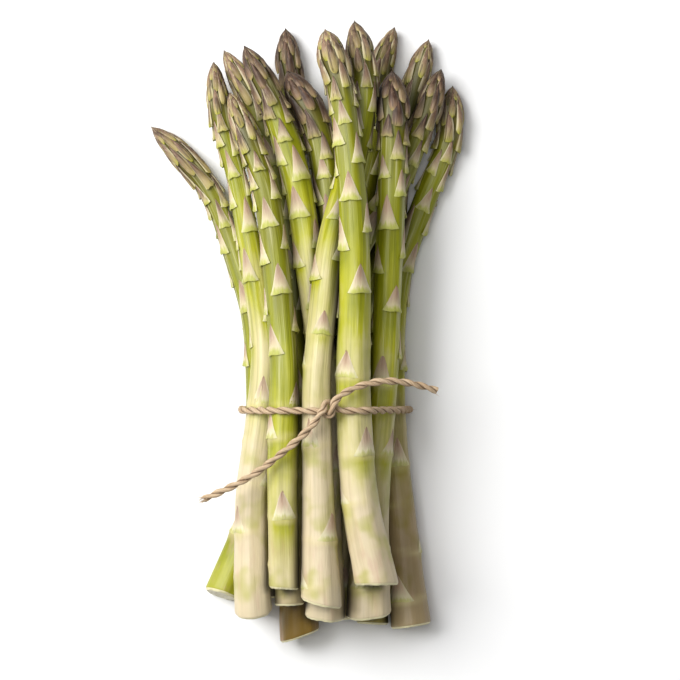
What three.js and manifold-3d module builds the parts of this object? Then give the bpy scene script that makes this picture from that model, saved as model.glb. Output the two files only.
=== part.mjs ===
// A bundle of green asparagus lying on its side, tied round the middle with jute twine.
// Millimetres, +Z up, +Y from the cut ends to the tips, +X across the bundle.
// The origin is under the middle of the spears, on the surface that they lie on.

import * as THREE from 'three';
import { mergeVertices } from 'three/addons/utils/BufferGeometryUtils.js';
import Module from 'manifold-3d';

const wasm = await Module();
wasm.setup();

// Driving dimensions of the bundle
const tieY = -27.9;
const groupX = 0.538;
const groupY = 0.225;
const spearGap = 0.75;
const restTrim = 0.3;
const reachY = 112;
const stationStep = 4;

// How the spears settle: free rounds, then last ones with no pull back to their courses.
// pull and sink are what a round does, share is how much of an overlap or a bend it takes away.
const settling = {
  free: { rounds: 700, pull: 0.05, sink: 0.02, sideShare: 0.35, bendShare: 0.5, bendPasses: 12 },
  last: { rounds: 300, pull: 0, sink: 0.004, sideShare: 0.5, bendShare: 0.2, bendPasses: 1 },
  upShare: 0.6,
  endReach: 3,
};

// Driving dimensions of the twine
const twineWidth = 2.8;
const twineClear = 0.45;
const twineSteps = 90;
const twineSides = 8;
const knotX = 5.9;
const knotReach = 7.5;
const wrapStep = 3;

// Driving dimensions of the stems and their scales
const stemSides = 8;
const ringStep = 12;
const headBlend = 18;
const coreShare = 0.8;
const scaleTurn = THREE.MathUtils.degToRad(137.5);
const scaleFirstStep = 1.3;
const scaleStepGrowth = 1.13;
const scaleLength = 10;
const scaleLift = 1;
const leastLift = 0.15;

// Each spear lies along a hand-set course of [y, x, z] points from its cut end to its tip.
// widths are across the cut end, at the tie, under the head and across the head;
// peak is how far behind the tip the head is widest, cut tilts the cut face sideways and upward.
const spears = {
  spear_01: {
    course: [[-100.6, -17.5, 19], [-60.3, -19.4, 22], [-27.9, -16.4, 24], [-6.3, -15.7, 23],
      [15.3, -18.5, 21], [54.9, -25.7, 18], [76.5, -31.5, 16], [97.4, -34.4, 14]],
    widths: [13.7, 10.4, 7.2, 8.6], peak: 20, cut: [0.05, -0.28], color: 0xc9cc7c,
  },
  spear_02: {
    course: [[-92, -7.7, 27], [-60.3, -8.1, 29], [-27.9, -7.7, 28], [-6.3, -8.6, 29],
      [36.9, -13.1, 27], [54.9, -16.7, 26], [85.9, -28.1, 23]],
    widths: [10.8, 10.7, 9, 9.4], peak: 20, cut: [-0.08, 0.1], color: 0xb7bf57,
  },
  spear_03: {
    course: [[-97, 4.1, 26], [-60.3, 3.4, 28], [-21.1, 3.2, 29], [-2.7, 4.7, 26], [15.3, 7, 23],
      [35.1, 10.3, 20], [65.7, 17.5, 17], [89.1, 20.5, 17], [111.8, 16.9, 17]],
    widths: [14.8, 10.2, 9.6, 10.2], peak: 16, cut: [-0.25, -0.08], color: 0xdcd8a6,
  },
  spear_04: {
    course: [[-90.5, 24.3, 30], [-63.9, 18.9, 32], [-27.9, 15.8, 33], [15.3, 15.3, 32],
      [58.5, 14.2, 30], [85.5, 11.3, 28], [108.4, 5.9, 28]],
    widths: [15.5, 12.6, 9.4, 10.7], peak: 13, cut: [-0.2, 0.06], color: 0xb9c34e,
  },
  spear_05: {
    course: [[-102.1, 20.7, 16], [-63.9, 22.9, 20], [-27.9, 26.5, 24], [15.3, 28.6, 24],
      [54.9, 29.9, 23], [76.5, 30.2, 22], [93.8, 29.9, 21]],
    widths: [16.2, 9.9, 10, 11.9], peak: 16, cut: [0.12, -0.2], color: 0xa6ad45,
  },
  spear_06: {
    course: [[-106.4, 35.9, 9], [-63.9, 32.4, 13], [-27.9, 28.9, 15], [-6.3, 28.6, 15],
      [15.3, 29.8, 14], [31, 32.8, 13], [47.7, 40, 12], [69.3, 49.5, 12], [89.1, 51.7, 12]],
    widths: [14.8, 9.6, 8.3, 9.7], peak: 17, cut: [0.06, -0.05], color: 0x9d9a4a,
  },
  spear_07: {
    course: [[-95.9, -12, 15], [-53.1, -13.5, 11], [-27.9, -14.5, 9], [4.5, -18.5, 10],
      [29.7, -26.8, 9], [50.6, -35.1, 8], [65.7, -47.3, 7], [74.3, -56.7, 7]],
    widths: [10.4, 9.4, 7.4, 9], peak: 16, cut: [0, 0.05], color: 0x8f9638,
  },
  spear_08: {
    course: [[-98.1, -7.4, 14], [-53.1, -5.9, 19], [-27.9, -4.1, 20], [15.3, -3.8, 18],
      [54.9, -10.3, 15], [81.9, -19.3, 14], [101.7, -30.2, 14]],
    widths: [10.8, 9.7, 8.3, 9], peak: 18, cut: [0.1, 0.1], color: 0x8b923a,
  },
  spear_09: {
    course: [[-102.8, 4.5, 13], [-60.3, 4.5, 17], [-27.9, 4.9, 20], [15.3, 2.5, 19],
      [54.9, -3.8, 19], [81.9, -12.8, 19], [102.8, -22.9, 19]],
    widths: [14.4, 10.4, 10.1, 10.1], peak: 18, cut: [-0.06, -0.12], color: 0xaab546,
  },
  spear_10: {
    course: [[-110, -3.8, 8], [-71.1, -6.5, 12], [-27.9, -9, 17], [26.1, -7, 9],
      [72.9, -5.5, 6], [110, -8.3, 6]],
    widths: [14.8, 9.7, 8.6, 9.2], peak: 16, cut: [0.28, 0.05], color: 0x7c7a30,
  },
  spear_11: {
    course: [[-103.5, 9.5, 12], [-60.3, 11.3, 17], [-27.9, 13.9, 20], [15.3, 11.7, 17],
      [49.5, 7, 14], [74.7, 2.3, 13], [94.1, -7.7, 13]],
    widths: [12.2, 10.4, 9.7, 11.9], peak: 15, cut: [0, 0.05], color: 0x86733f,
  },
  spear_12: {
    course: [[-105.7, 22.3, 7], [-60.3, 19.5, 8], [-27.9, 17.5, 9], [0, 16, 6], [26.1, 15.5, 6],
      [50, 18.5, 6], [72.9, 23.2, 6], [97.4, 26.5, 6], [110.3, 31, 6]],
    widths: [11.8, 10.1, 9, 9], peak: 18, cut: [-0.1, 0], color: 0x7d8034,
  },
  spear_13: {
    course: [[-101, -20, 7], [-53.1, -2.5, 8], [-27.9, 8, 9], [0, 16, 13], [26.1, 24, 12],
      [50, 30.5, 8], [69.3, 33.3, 6], [90.9, 39.4, 6], [106, 43.7, 6]],
    widths: [11.2, 9.7, 9, 9.4], peak: 18, cut: [0, 0], color: 0x84893a,
  },
  spear_14: {
    course: [[-95.2, -31.5, 6], [-53.1, -13.5, 8], [-27.9, -3.5, 9], [0, 6.5, 11], [22.5, 16.5, 15],
      [54.9, 34, 15], [78.3, 42.3, 12], [94.9, 47.7, 10]],
    widths: [11.5, 10.1, 8.8, 9.7], peak: 18, cut: [0.07, 0.2], color: 0x93a03c,
  },
};

// The frayed end of the twine runs from the lower left up to the knot.
// Points are [x, y, lift], where lift is the height over the top of the wrap.
const frayedEnd = [
  [-37.2, -59.5, -5.5], [-31.5, -57, -3.6], [-25.7, -54.2, -1.8], [-20.4, -51.2, -0.4],
  [-15.4, -47.8, 0.9], [-10.8, -44.2, 2], [-6.6, -40.8, 2.7], [-2.8, -37.4, 3.1],
];

// The cut end runs from the knot to the upper right
const cutEnd = [
  [11.7, -22.4, 3.7], [14.6, -20.7, 3.7], [18.2, -19.2, 3.5], [22.2, -18.1, 2.9], [27, -17.4, 1.9],
  [31.8, -17.5, 0.5], [36.6, -18.2, -1.1], [41.5, -19.4, -2.8], [46, -20.8, -4.4],
];

// The strand from the frayed end hooks over the other one, then runs on to the right side of the wrap.
// Points are [x, y, lift] from the knot's middle on top of the wrap.
const knotOver = [
  [-5.2, -6, 3.2], [-3, -3.3, 3.3], [-1.6, -0.9, 3.2], [-0.5, 0.3, 2.9], [0.1, 2.6, 2],
  [1.6, 3.1, 0.5], [2.5, 2.4, 0.1], [3.9, 1, 0], [5.8, 0.1, 0],
];

// The strand from the left side of the wrap hooks under and back over, then runs on to the cut end
const knotUnder = [
  [-5.6, -0.1, 0], [-3.2, -0.2, 0], [-0.8, -0.5, -0.2], [1.2, -1.4, 0.8], [2.3, -1.1, 2.1],
  [2.9, 1.5, 3.3], [3.4, 3, 3.4],
];

// An S-shaped step from 0 to 1
function smoothStep(value) {
  const t = THREE.MathUtils.clamp(value, 0, 1);
  return t * t * (3 - 2 * t);
}

// The x and z of a course at y: a cubic through its points with central slopes, straight past the ends
function courseAt(course, y) {
  const last = course.length - 1;
  const slope = (i, axis) => {
    const a = course[Math.max(i - 1, 0)];
    const b = course[Math.min(i + 1, last)];
    return (b[axis] - a[axis]) / (b[0] - a[0]);
  };
  const inside = THREE.MathUtils.clamp(y, course[0][0], course[last][0]);
  let i = 0;
  while (i < last - 1 && course[i + 1][0] <= inside) {
    i += 1;
  }
  const h = course[i + 1][0] - course[i][0];
  const t = (inside - course[i][0]) / h;
  return [1, 2].map((axis) => {
    const value = (2 * t ** 3 - 3 * t ** 2 + 1) * course[i][axis]
      + (t ** 3 - 2 * t ** 2 + t) * h * slope(i, axis)
      + (3 * t ** 2 - 2 * t ** 3) * course[i + 1][axis]
      + (t ** 3 - t ** 2) * h * slope(i + 1, axis);
    return value + (y - inside) * slope(y < inside ? 0 : last, axis);
  });
}

// The outer radius at y: a dome to the widest part of the head, a neck, an even stem, a flared cut end
function outerRadius(spear, y) {
  const [butt, tie, neck, head] = spear.widths;
  const buttY = spear.course[0][0];
  const tipY = spear.course[spear.course.length - 1][0];
  const back = tipY - y;
  if (back < spear.peak) {
    const t = THREE.MathUtils.clamp(back / spear.peak, 0, 1);
    return 0.5 * head * (t * (2 - t)) ** 0.65;
  }
  const neckY = tipY - spear.peak - headBlend;
  let stem = tie + (neck - tie) * THREE.MathUtils.clamp((y - tieY) / (neckY - tieY), 0, 1);
  if (y < tieY) {
    stem = tie + (butt - tie) * THREE.MathUtils.clamp((tieY - y) / (tieY - buttY), 0, 1) ** 1.5;
  }
  return 0.5 * (stem + (head - stem) * (1 - smoothStep((back - spear.peak) / headBlend)));
}

// How much a place belongs to the head: 1 from the tip to the widest part, 0 on the stem
function headShare(spear, y) {
  return 1 - smoothStep((spear.course[spear.course.length - 1][0] - y - spear.peak) / headBlend);
}

// The radius of the body under the scales: inside the outer radius in the head, equal to it on the stem
function coreRadius(spear, y) {
  return outerRadius(spear, y) * (1 - (1 - coreShare) * headShare(spear, y));
}

// The surface that the spears feel: flat, but raised at the tie, where the twine passes under them
function groundHeight(y) {
  const raised = 1 - smoothStep((Math.abs(y - tieY) - 3) / 30);
  return -restTrim + (restTrim + twineWidth + 2 * twineClear) * raised;
}

// Half the difference between the mean of the neighbours and each value, for bending stiffness
function curvature(row) {
  return row.map((value, k) => {
    const before = row[Math.max(k - 1, 0)];
    const after = row[Math.min(k + 1, row.length - 1)];
    return 0.5 * (before + after) - value;
  });
}

// Settles the spears: they sink a little, push each other apart where they touch and stay smooth
function settle(list) {
  const count = Math.floor((2 * reachY) / stationStep) + 1;
  const stations = Array.from({ length: count }, (_, k) => -reachY + k * stationStep);
  const rows = list.map((spear) => {
    const low = spear.course[0][0] - settling.endReach;
    const high = spear.course[spear.course.length - 1][0] + settling.endReach;
    return {
      x: stations.map((y) => courseAt(spear.course, y)[0]),
      z: stations.map((y) => courseAt(spear.course, y)[1]),
      radius: stations.map((y) => outerRadius(spear, y)),
      active: stations.map((y) => y > low && y < high),
    };
  });
  const start = rows.map((row) => ({ x: [...row.x], z: [...row.z] }));
  const ground = stations.map(groundHeight);
  const slopes = (values) => values.map((_, k) => {
    const a = Math.max(k - 1, 0);
    const b = Math.min(k + 1, count - 1);
    return (values[b] - values[a]) / ((b - a) * stationStep);
  });
  for (let round = 0; round < settling.free.rounds + settling.last.rounds; round += 1) {
    const phase = round < settling.free.rounds ? settling.free : settling.last;
    const slopeX = rows.map((row) => slopes(row.x));
    const slopeZ = rows.map((row) => slopes(row.z));
    const moveX = rows.map(() => new Array(count).fill(0));
    const moveZ = rows.map(() => new Array(count).fill(0));
    for (let i = 0; i < rows.length; i += 1) {
      for (let j = i + 1; j < rows.length; j += 1) {
        for (let k = 0; k < count; k += 1) {
          if (rows[i].active[k] && rows[j].active[k]) {
            const dx = rows[j].x[k] - rows[i].x[k];
            const dz = rows[j].z[k] - rows[i].z[k];
            const sx = 0.5 * (slopeX[i][k] + slopeX[j][k]);
            const sz = 0.5 * (slopeZ[i][k] + slopeZ[j][k]);
            const flat = dx * dx + dz * dz + 1e-9;
            const along = (dx * sx + dz * sz) ** 2 / (1 + sx * sx + sz * sz);
            const apart = Math.sqrt(Math.max(flat - along, 1e-9));
            const lack = rows[i].radius[k] + rows[j].radius[k] + spearGap - apart;
            if (lack > 0) {
              const push = (0.5 * lack) / Math.sqrt(flat);
              moveX[i][k] -= push * dx;
              moveX[j][k] += push * dx;
              moveZ[i][k] -= push * dz;
              moveZ[j][k] += push * dz;
            }
          }
        }
      }
    }
    rows.forEach((row, i) => {
      for (let k = 0; k < count; k += 1) {
        row.x[k] += phase.sideShare * moveX[i][k];
        row.z[k] += settling.upShare * moveZ[i][k] - phase.sink;
        row.x[k] += phase.pull * (start[i].x[k] - row.x[k]);
      }
      for (let pass = 0; pass < phase.bendPasses; pass += 1) {
        const bendX = curvature(row.x.map((value, k) => value - start[i].x[k]));
        const bendZ = curvature(row.z.map((value, k) => value - start[i].z[k]));
        row.x = row.x.map((value, k) => value + phase.bendShare * bendX[k]);
        row.z = row.z.map((value, k) => value + phase.bendShare * bendZ[k]);
      }
      row.z = row.z.map((value, k) => Math.max(value, row.radius[k] + ground[k]));
    });
  }
  return rows.map((row) => ({
    x: stations.map((y, k) => [y, row.x[k]]),
    z: stations.map((y, k) => [y, row.z[k]]),
  }));
}

const names = Object.keys(spears);
const specs = names.map((name) => spears[name]);
const settled = settle(specs);

// Value of a settled row at y, with the same cubic as a course
function rowAt(row, y) {
  const place = THREE.MathUtils.clamp((y + reachY) / stationStep, 0, row.length - 1);
  const first = THREE.MathUtils.clamp(Math.floor(place) - 1, 0, row.length - 4);
  const part = row.slice(first, first + 4).map(([at, value]) => [at, value, 0]);
  return courseAt(part, y)[0];
}

// Centre, direction and cross axes of a spear at y
function frameAt(index, y) {
  const { x, z } = settled[index];
  const centre = new THREE.Vector3(rowAt(x, y), y, rowAt(z, y));
  const step = 1;
  const ahead = new THREE.Vector3(rowAt(x, y + step), y + step, rowAt(z, y + step));
  const behind = new THREE.Vector3(rowAt(x, y - step), y - step, rowAt(z, y - step));
  const along = ahead.sub(behind).normalize();
  const side = new THREE.Vector3().crossVectors(along, new THREE.Vector3(0, 0, 1)).normalize();
  const up = new THREE.Vector3().crossVectors(side, along);
  return { centre, along, side, up };
}

// A point at an angle round the spear, at a radius from its centre line
function pointOn(index, y, angle, radius, shift = 0) {
  const { centre, along, side, up } = frameAt(index, y);
  return centre
    .addScaledVector(side, Math.cos(angle) * radius)
    .addScaledVector(up, Math.sin(angle) * radius)
    .addScaledVector(along, shift);
}

// A closed geometry from points and triangles
function meshOf(points, triangles) {
  const geometry = new THREE.BufferGeometry();
  geometry.setAttribute('position', new THREE.Float32BufferAttribute(points.flatMap((p) => [p.x, p.y, p.z]), 3));
  geometry.setIndex(triangles);
  return geometry;
}

// A solid for joining and cutting, from a closed geometry
function solidOf(source) {
  const bare = source.clone();
  bare.deleteAttribute('normal');
  bare.deleteAttribute('uv');
  const merged = mergeVertices(bare, 1e-4);
  return new wasm.Manifold(new wasm.Mesh({
    numProp: 3,
    vertProperties: new Float32Array(merged.attributes.position.array),
    triVerts: new Uint32Array(merged.index.array),
  }));
}

// The geometry of a joined or cut solid
function geometryOf(solid) {
  const { vertProperties, triVerts, numProp } = solid.getMesh();
  const points = [];
  for (let i = 0; i < vertProperties.length; i += numProp) {
    points.push(new THREE.Vector3(vertProperties[i], vertProperties[i + 1], vertProperties[i + 2]));
  }
  const geometry = meshOf(points, Array.from(triVerts));
  geometry.computeVertexNormals();
  return geometry;
}

// The body of a spear: rings of the core radius from a tilted cut face to a small flat tip
function stemSolid(index) {
  const spear = specs[index];
  const buttY = spear.course[0][0];
  const tipY = spear.course[spear.course.length - 1][0];
  const backs = [0.8, 3.5, 8, 15, 25];
  for (let back = 37; back < tipY - buttY - 8; back += ringStep) {
    backs.push(back);
  }
  const rings = backs.map((back) => tipY - back);
  rings.push(buttY);
  const points = [];
  const triangles = [];
  rings.forEach((y, ring) => {
    const radius = coreRadius(spear, y);
    for (let k = 0; k < stemSides; k += 1) {
      const angle = Math.PI / 2 + (k / stemSides) * 2 * Math.PI;
      const [sideways, upward] = spear.cut;
      const tilt = (sideways * Math.cos(angle) + upward * Math.sin(angle)) * radius;
      points.push(pointOn(index, y, angle, radius, ring === rings.length - 1 ? tilt : 0));
      if (ring > 0) {
        const a = (ring - 1) * stemSides + k;
        const b = (ring - 1) * stemSides + ((k + 1) % stemSides);
        triangles.push(a, b, a + stemSides, b, b + stemSides, a + stemSides);
      }
    }
  });
  const lastRing = (rings.length - 1) * stemSides;
  for (let k = 1; k < stemSides - 1; k += 1) {
    triangles.push(0, k + 1, k);
    triangles.push(lastRing, lastRing + k, lastRing + k + 1);
  }
  return solidOf(meshOf(points, triangles));
}

// The free room outside a point of one spear: to the nearest other spear and to the ground
function roomAt(index, point) {
  let room = point.z;
  specs.forEach((other, j) => {
    const inReach = point.y > other.course[0][0] - 4 && point.y < other.course[other.course.length - 1][0] + 4;
    if (j !== index && inReach) {
      const { centre, along } = frameAt(j, point.y);
      const offset = point.clone().sub(centre);
      const across = offset.addScaledVector(along, -offset.dot(along)).length();
      room = Math.min(room, across - outerRadius(other, point.y));
    }
  });
  return room;
}

// Where the scales sit: closer and closer toward the tip, each turned by the golden angle
function scalePlaces(index) {
  const spear = specs[index];
  const buttY = spear.course[0][0];
  const tipY = spear.course[spear.course.length - 1][0];
  const places = [];
  let back = 2.5;
  let step = scaleFirstStep;
  let turn = index * 1.7;
  while (tipY - back > buttY + 6) {
    const length = Math.min(3 + 0.3 * back, scaleLength, back + 0.3);
    const halfTurn = 0.55 + 0.4 * smoothStep((back - 10) / 50);
    places.push({ y: tipY - back, length, turn, halfTurn });
    back += step;
    step *= scaleStepGrowth;
    turn += scaleTurn;
  }
  return places;
}

// How far a scale may stand off the outer radius without reaching a neighbour, the ground or the twine
function freeLift(index, place) {
  const spear = specs[index];
  const samples = [[0, -1], [0, -0.5], [0, 0], [0, 0.5], [0, 1], [0.3, -0.7], [0.3, 0], [0.3, 0.7],
    [0.6, -0.4], [0.6, 0], [0.6, 0.4], [1, 0]];
  const rooms = samples.map(([along, side]) => {
    const y = place.y + along * place.length;
    return roomAt(index, pointOn(index, y, place.turn + side * place.halfTurn, outerRadius(spear, y)));
  });
  const most = scaleLift * (1 - 0.75 * headShare(spear, place.y));
  const lift = Math.min(most, 0.4 * Math.min(...rooms) - 0.08);
  const underTwine = place.y < tieY + 3 && place.y + place.length > tieY - 3;
  return underTwine ? Math.min(lift, 0.1) : lift;
}

// One scale: a three-cornered wedge with a raised ridge, its root sunk in the body
function scaleSolid(index, place, lift) {
  const spear = specs[index];
  const outer = (along, side, share) => {
    const y = place.y + along * place.length;
    const core = coreRadius(spear, y);
    const head = outerRadius(spear, y) - core;
    const radius = core + share * (head + lift);
    return pointOn(index, y, place.turn + side * place.halfTurn, radius);
  };
  const rootY = place.y + 0.35 * place.length;
  const root = pointOn(index, rootY, place.turn, 0.35 * coreRadius(spear, rootY));
  const points = [outer(0.04, -1, 0.3), outer(-0.03, 0, 1), outer(0.04, 1, 0.3), outer(1, 0, 0.5), root];
  const triangles = [1, 0, 3, 2, 1, 3];
  for (let k = 0; k < 4; k += 1) {
    triangles.push(k, (k + 1) % 4, 4);
  }
  return solidOf(meshOf(points, triangles));
}

const groundCut = solidOf(new THREE.BoxGeometry(400, 400, 20).translate(0, 0, -10));

// A whole spear: body and scales joined, the underside trimmed flat where it rests
function spearGeometry(index) {
  const scales = scalePlaces(index)
    .map((place) => [place, freeLift(index, place)])
    .filter(([place, lift]) => lift > leastLift || headShare(specs[index], place.y) > 0.8)
    .map(([place, lift]) => scaleSolid(index, place, Math.max(lift, 0)));
  return geometryOf(scales.reduce((body, scale) => body.add(scale), stemSolid(index)).subtract(groundCut));
}

// The outline round all the spears at the tie, as [x, z] points, grown by half the twine
function tieOutline() {
  const points = [];
  specs.forEach((spear, i) => {
    const { centre, along } = frameAt(i, tieY);
    const radius = outerRadius(spear, tieY) + twineWidth / 2 + twineClear;
    for (let k = 0; k < 24; k += 1) {
      const angle = (k / 24) * 2 * Math.PI;
      points.push([centre.x + (radius * Math.cos(angle)) / along.y, centre.z + radius * Math.sin(angle)]);
    }
  });
  points.sort((a, b) => a[0] - b[0] || a[1] - b[1]);
  const turnOf = (o, a, b) => (a[0] - o[0]) * (b[1] - o[1]) - (a[1] - o[1]) * (b[0] - o[0]);
  const chain = (list) => {
    const hull = [];
    list.forEach((p) => {
      while (hull.length > 1 && turnOf(hull[hull.length - 2], hull[hull.length - 1], p) <= 0) {
        hull.pop();
      }
      hull.push(p);
    });
    return hull.slice(0, -1);
  };
  return [...chain(points), ...chain(points.reverse())];
}

// The outline as evenly spaced points that run down the right side, under and up the left side
function wrapPoints() {
  const outline = tieOutline().reverse();
  const line = new THREE.CurvePath();
  outline.forEach(([x, z], k) => {
    const next = outline[(k + 1) % outline.length];
    line.add(new THREE.LineCurve3(new THREE.Vector3(x, tieY, z), new THREE.Vector3(next[0], tieY, next[1])));
  });
  const count = Math.round(line.getLength() / wrapStep);
  const ring = line.getSpacedPoints(count).slice(0, -1);
  const topZ = Math.max(...ring.map((p) => p.z));
  const onTop = (p) => p.z > topZ - 4 && Math.abs(p.x - knotX) < knotReach;
  const first = ring.findIndex((p, k) => !onTop(p) && onTop(ring[(k + count - 1) % count]));
  const turned = [...ring.slice(first), ...ring.slice(0, first)];
  return { topZ, points: turned.filter((p) => !onTop(p)) };
}

// The whole twine: frayed end, knot, once round the bundle, knot again, cut end
function twinePoints() {
  const { topZ, points } = wrapPoints();
  const place = ([x, y, lift]) => new THREE.Vector3(knotX + x, tieY + y, topZ + lift);
  const end = ([x, y, lift]) => new THREE.Vector3(x, y, topZ + lift);
  return [...frayedEnd.map(end), ...knotOver.map(place), ...points, ...knotUnder.map(place), ...cutEnd.map(end)];
}

// The twine as one tube of even width
function twineGeometry() {
  const section = new THREE.Shape();
  for (let k = 0; k < twineSides; k += 1) {
    const angle = (k / twineSides) * 2 * Math.PI;
    const x = (Math.cos(angle) * twineWidth) / 2;
    const y = (Math.sin(angle) * twineWidth) / 2;
    if (k === 0) {
      section.moveTo(x, y);
    } else {
      section.lineTo(x, y);
    }
  }
  section.closePath();
  const curve = new THREE.CatmullRomCurve3(twinePoints());
  const tube = new THREE.ExtrudeGeometry(section, { steps: twineSteps, extrudePath: curve, bevelEnabled: false });
  tube.deleteAttribute('normal');
  tube.deleteAttribute('uv');
  return mergeVertices(tube, 1e-4);
}

const group = new THREE.Group();
group.position.set(groupX, groupY, 0);

names.forEach((name, index) => {
  const material = new THREE.MeshStandardMaterial({ color: spears[name].color, roughness: 0.5, metalness: 0 });
  const mesh = new THREE.Mesh(spearGeometry(index), material);
  mesh.name = name;
  group.add(mesh);
});

const twineMaterial = new THREE.MeshStandardMaterial({ color: 0xc2a078, roughness: 0.9, metalness: 0 });
const twine = new THREE.Mesh(twineGeometry(), twineMaterial);
twine.name = 'twine';
group.add(twine);

export default group;
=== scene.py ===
import bpy
import numpy as np
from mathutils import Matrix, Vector


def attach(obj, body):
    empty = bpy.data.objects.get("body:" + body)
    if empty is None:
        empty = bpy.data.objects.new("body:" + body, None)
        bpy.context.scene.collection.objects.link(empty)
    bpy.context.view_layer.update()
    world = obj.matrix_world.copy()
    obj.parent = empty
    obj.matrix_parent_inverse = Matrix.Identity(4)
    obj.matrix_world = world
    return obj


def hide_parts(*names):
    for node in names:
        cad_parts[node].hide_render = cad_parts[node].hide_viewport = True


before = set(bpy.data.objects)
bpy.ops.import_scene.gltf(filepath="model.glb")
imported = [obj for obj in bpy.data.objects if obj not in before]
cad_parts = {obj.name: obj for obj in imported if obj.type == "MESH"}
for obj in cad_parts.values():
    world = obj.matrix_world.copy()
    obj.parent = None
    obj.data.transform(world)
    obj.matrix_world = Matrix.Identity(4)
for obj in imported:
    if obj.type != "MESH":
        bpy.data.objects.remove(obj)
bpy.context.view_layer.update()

# A bundle of green asparagus lying on its side, tied round the middle with jute twine.
# Shapes are worked out in millimetres, with +Y from the cut ends to the tips, and put into the meshes in metres.
mm = 0.001

bundle = {
    "tieY": -27.9,  # where the twine passes round the spears
    "shift": (0.538, 0.225, 0.0),  # puts the middle of the spears over the origin
    "gap": 0.75,  # kept between neighbouring spears
    "restTrim": 0.3,  # how far the lowest stems are pressed flat
    "reachY": 112.0,  # the courses are held at stations from -reachY to reachY
    "stationStep": 4.0,
    "headBlend": 18.0,  # over this length a head narrows to its stem
    "coreShare": 0.8,  # the body under the scales of a head
    "flare": 1.5,  # power by which a stem widens to its cut end
    "dome": 0.65,  # power that rounds the tip
    "twineRoom": 3.7,  # height that the twine needs under the bundle
    "roomReach": (33.0, 3.0),  # it starts this near to the tie, and is whole this near
    "sharpAngle": 50.0,  # degrees past which an edge stays sharp
}

# How the spears settle: free rounds, then last ones with no pull back to their courses.
# pull and sink are what a round does, the shares are how much of an overlap or a bend it takes away.
settling = {
    "free": {"rounds": 700, "pull": 0.05, "sink": 0.02, "sideShare": 0.35, "bendShare": 0.5, "bendPasses": 12},
    "last": {"rounds": 300, "pull": 0.0, "sink": 0.004, "sideShare": 0.5, "bendShare": 0.2, "bendPasses": 1},
    "upShare": 0.6,  # the share of an overlap that is taken away upward
    "endReach": 3.0,  # a spear still pushes this far past its ends
}

# Each spear lies along a course of (y, x, z) points from its cut end to its tip.
courses = {
    "spear_01": [(-100.6, -17.5, 19), (-60.3, -19.4, 22), (-27.9, -16.4, 24), (-6.3, -15.7, 23),
                 (15.3, -18.5, 21), (54.9, -25.7, 18), (76.5, -31.5, 16), (97.4, -34.4, 14)],
    "spear_02": [(-92, -7.7, 27), (-60.3, -8.1, 29), (-27.9, -7.7, 28), (-6.3, -8.6, 29), (36.9, -13.1, 27),
                 (54.9, -16.7, 26), (85.9, -28.1, 23)],
    "spear_03": [(-97, 4.1, 26), (-60.3, 3.4, 28), (-21.1, 3.2, 29), (-2.7, 4.7, 26), (15.3, 7, 23),
                 (35.1, 10.3, 20), (65.7, 17.5, 17), (89.1, 20.5, 17), (111.8, 16.9, 17)],
    "spear_04": [(-90.5, 24.3, 30), (-63.9, 18.9, 32), (-27.9, 15.8, 33), (15.3, 15.3, 32), (58.5, 14.2, 30),
                 (85.5, 11.3, 28), (108.4, 5.9, 28)],
    "spear_05": [(-102.1, 20.7, 16), (-63.9, 22.9, 20), (-27.9, 26.5, 24), (15.3, 28.6, 24), (54.9, 29.9, 23),
                 (76.5, 30.2, 22), (93.8, 29.9, 21)],
    "spear_06": [(-106.4, 35.9, 9), (-63.9, 32.4, 13), (-27.9, 28.9, 15), (-6.3, 28.6, 15), (15.3, 29.8, 14),
                 (31, 32.8, 13), (47.7, 40, 12), (69.3, 49.5, 12), (89.1, 51.7, 12)],
    "spear_07": [(-95.9, -12, 15), (-53.1, -13.5, 11), (-27.9, -14.5, 9), (4.5, -18.5, 10), (29.7, -26.8, 9),
                 (50.6, -35.1, 8), (65.7, -47.3, 7), (74.3, -56.7, 7)],
    "spear_08": [(-98.1, -7.4, 14), (-53.1, -5.9, 19), (-27.9, -4.1, 20), (15.3, -3.8, 18), (54.9, -10.3, 15),
                 (81.9, -19.3, 14), (101.7, -30.2, 14)],
    "spear_09": [(-102.8, 4.5, 13), (-60.3, 4.5, 17), (-27.9, 4.9, 20), (15.3, 2.5, 19), (54.9, -3.8, 19),
                 (81.9, -12.8, 19), (102.8, -22.9, 19)],
    "spear_10": [(-110, -3.8, 8), (-71.1, -6.5, 12), (-27.9, -9, 17), (26.1, -7, 9), (72.9, -5.5, 6),
                 (110, -8.3, 6)],
    "spear_11": [(-103.5, 9.5, 12), (-60.3, 11.3, 17), (-27.9, 13.9, 20), (15.3, 11.7, 17), (49.5, 7, 14),
                 (74.7, 2.3, 13), (94.1, -7.7, 13)],
    "spear_12": [(-105.7, 22.3, 7), (-60.3, 19.5, 8), (-27.9, 17.5, 9), (0, 16, 6), (26.1, 15.5, 6),
                 (50, 18.5, 6), (72.9, 23.2, 6), (97.4, 26.5, 6), (110.3, 31, 6)],
    "spear_13": [(-101, -20, 7), (-53.1, -2.5, 8), (-27.9, 8, 9), (0, 16, 13), (26.1, 24, 12), (50, 30.5, 8),
                 (69.3, 33.3, 6), (90.9, 39.4, 6), (106, 43.7, 6)],
    "spear_14": [(-95.2, -31.5, 6), (-53.1, -13.5, 8), (-27.9, -3.5, 9), (0, 6.5, 11), (22.5, 16.5, 15),
                 (54.9, 34, 15), (78.3, 42.3, 12), (94.9, 47.7, 10)],
}

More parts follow.
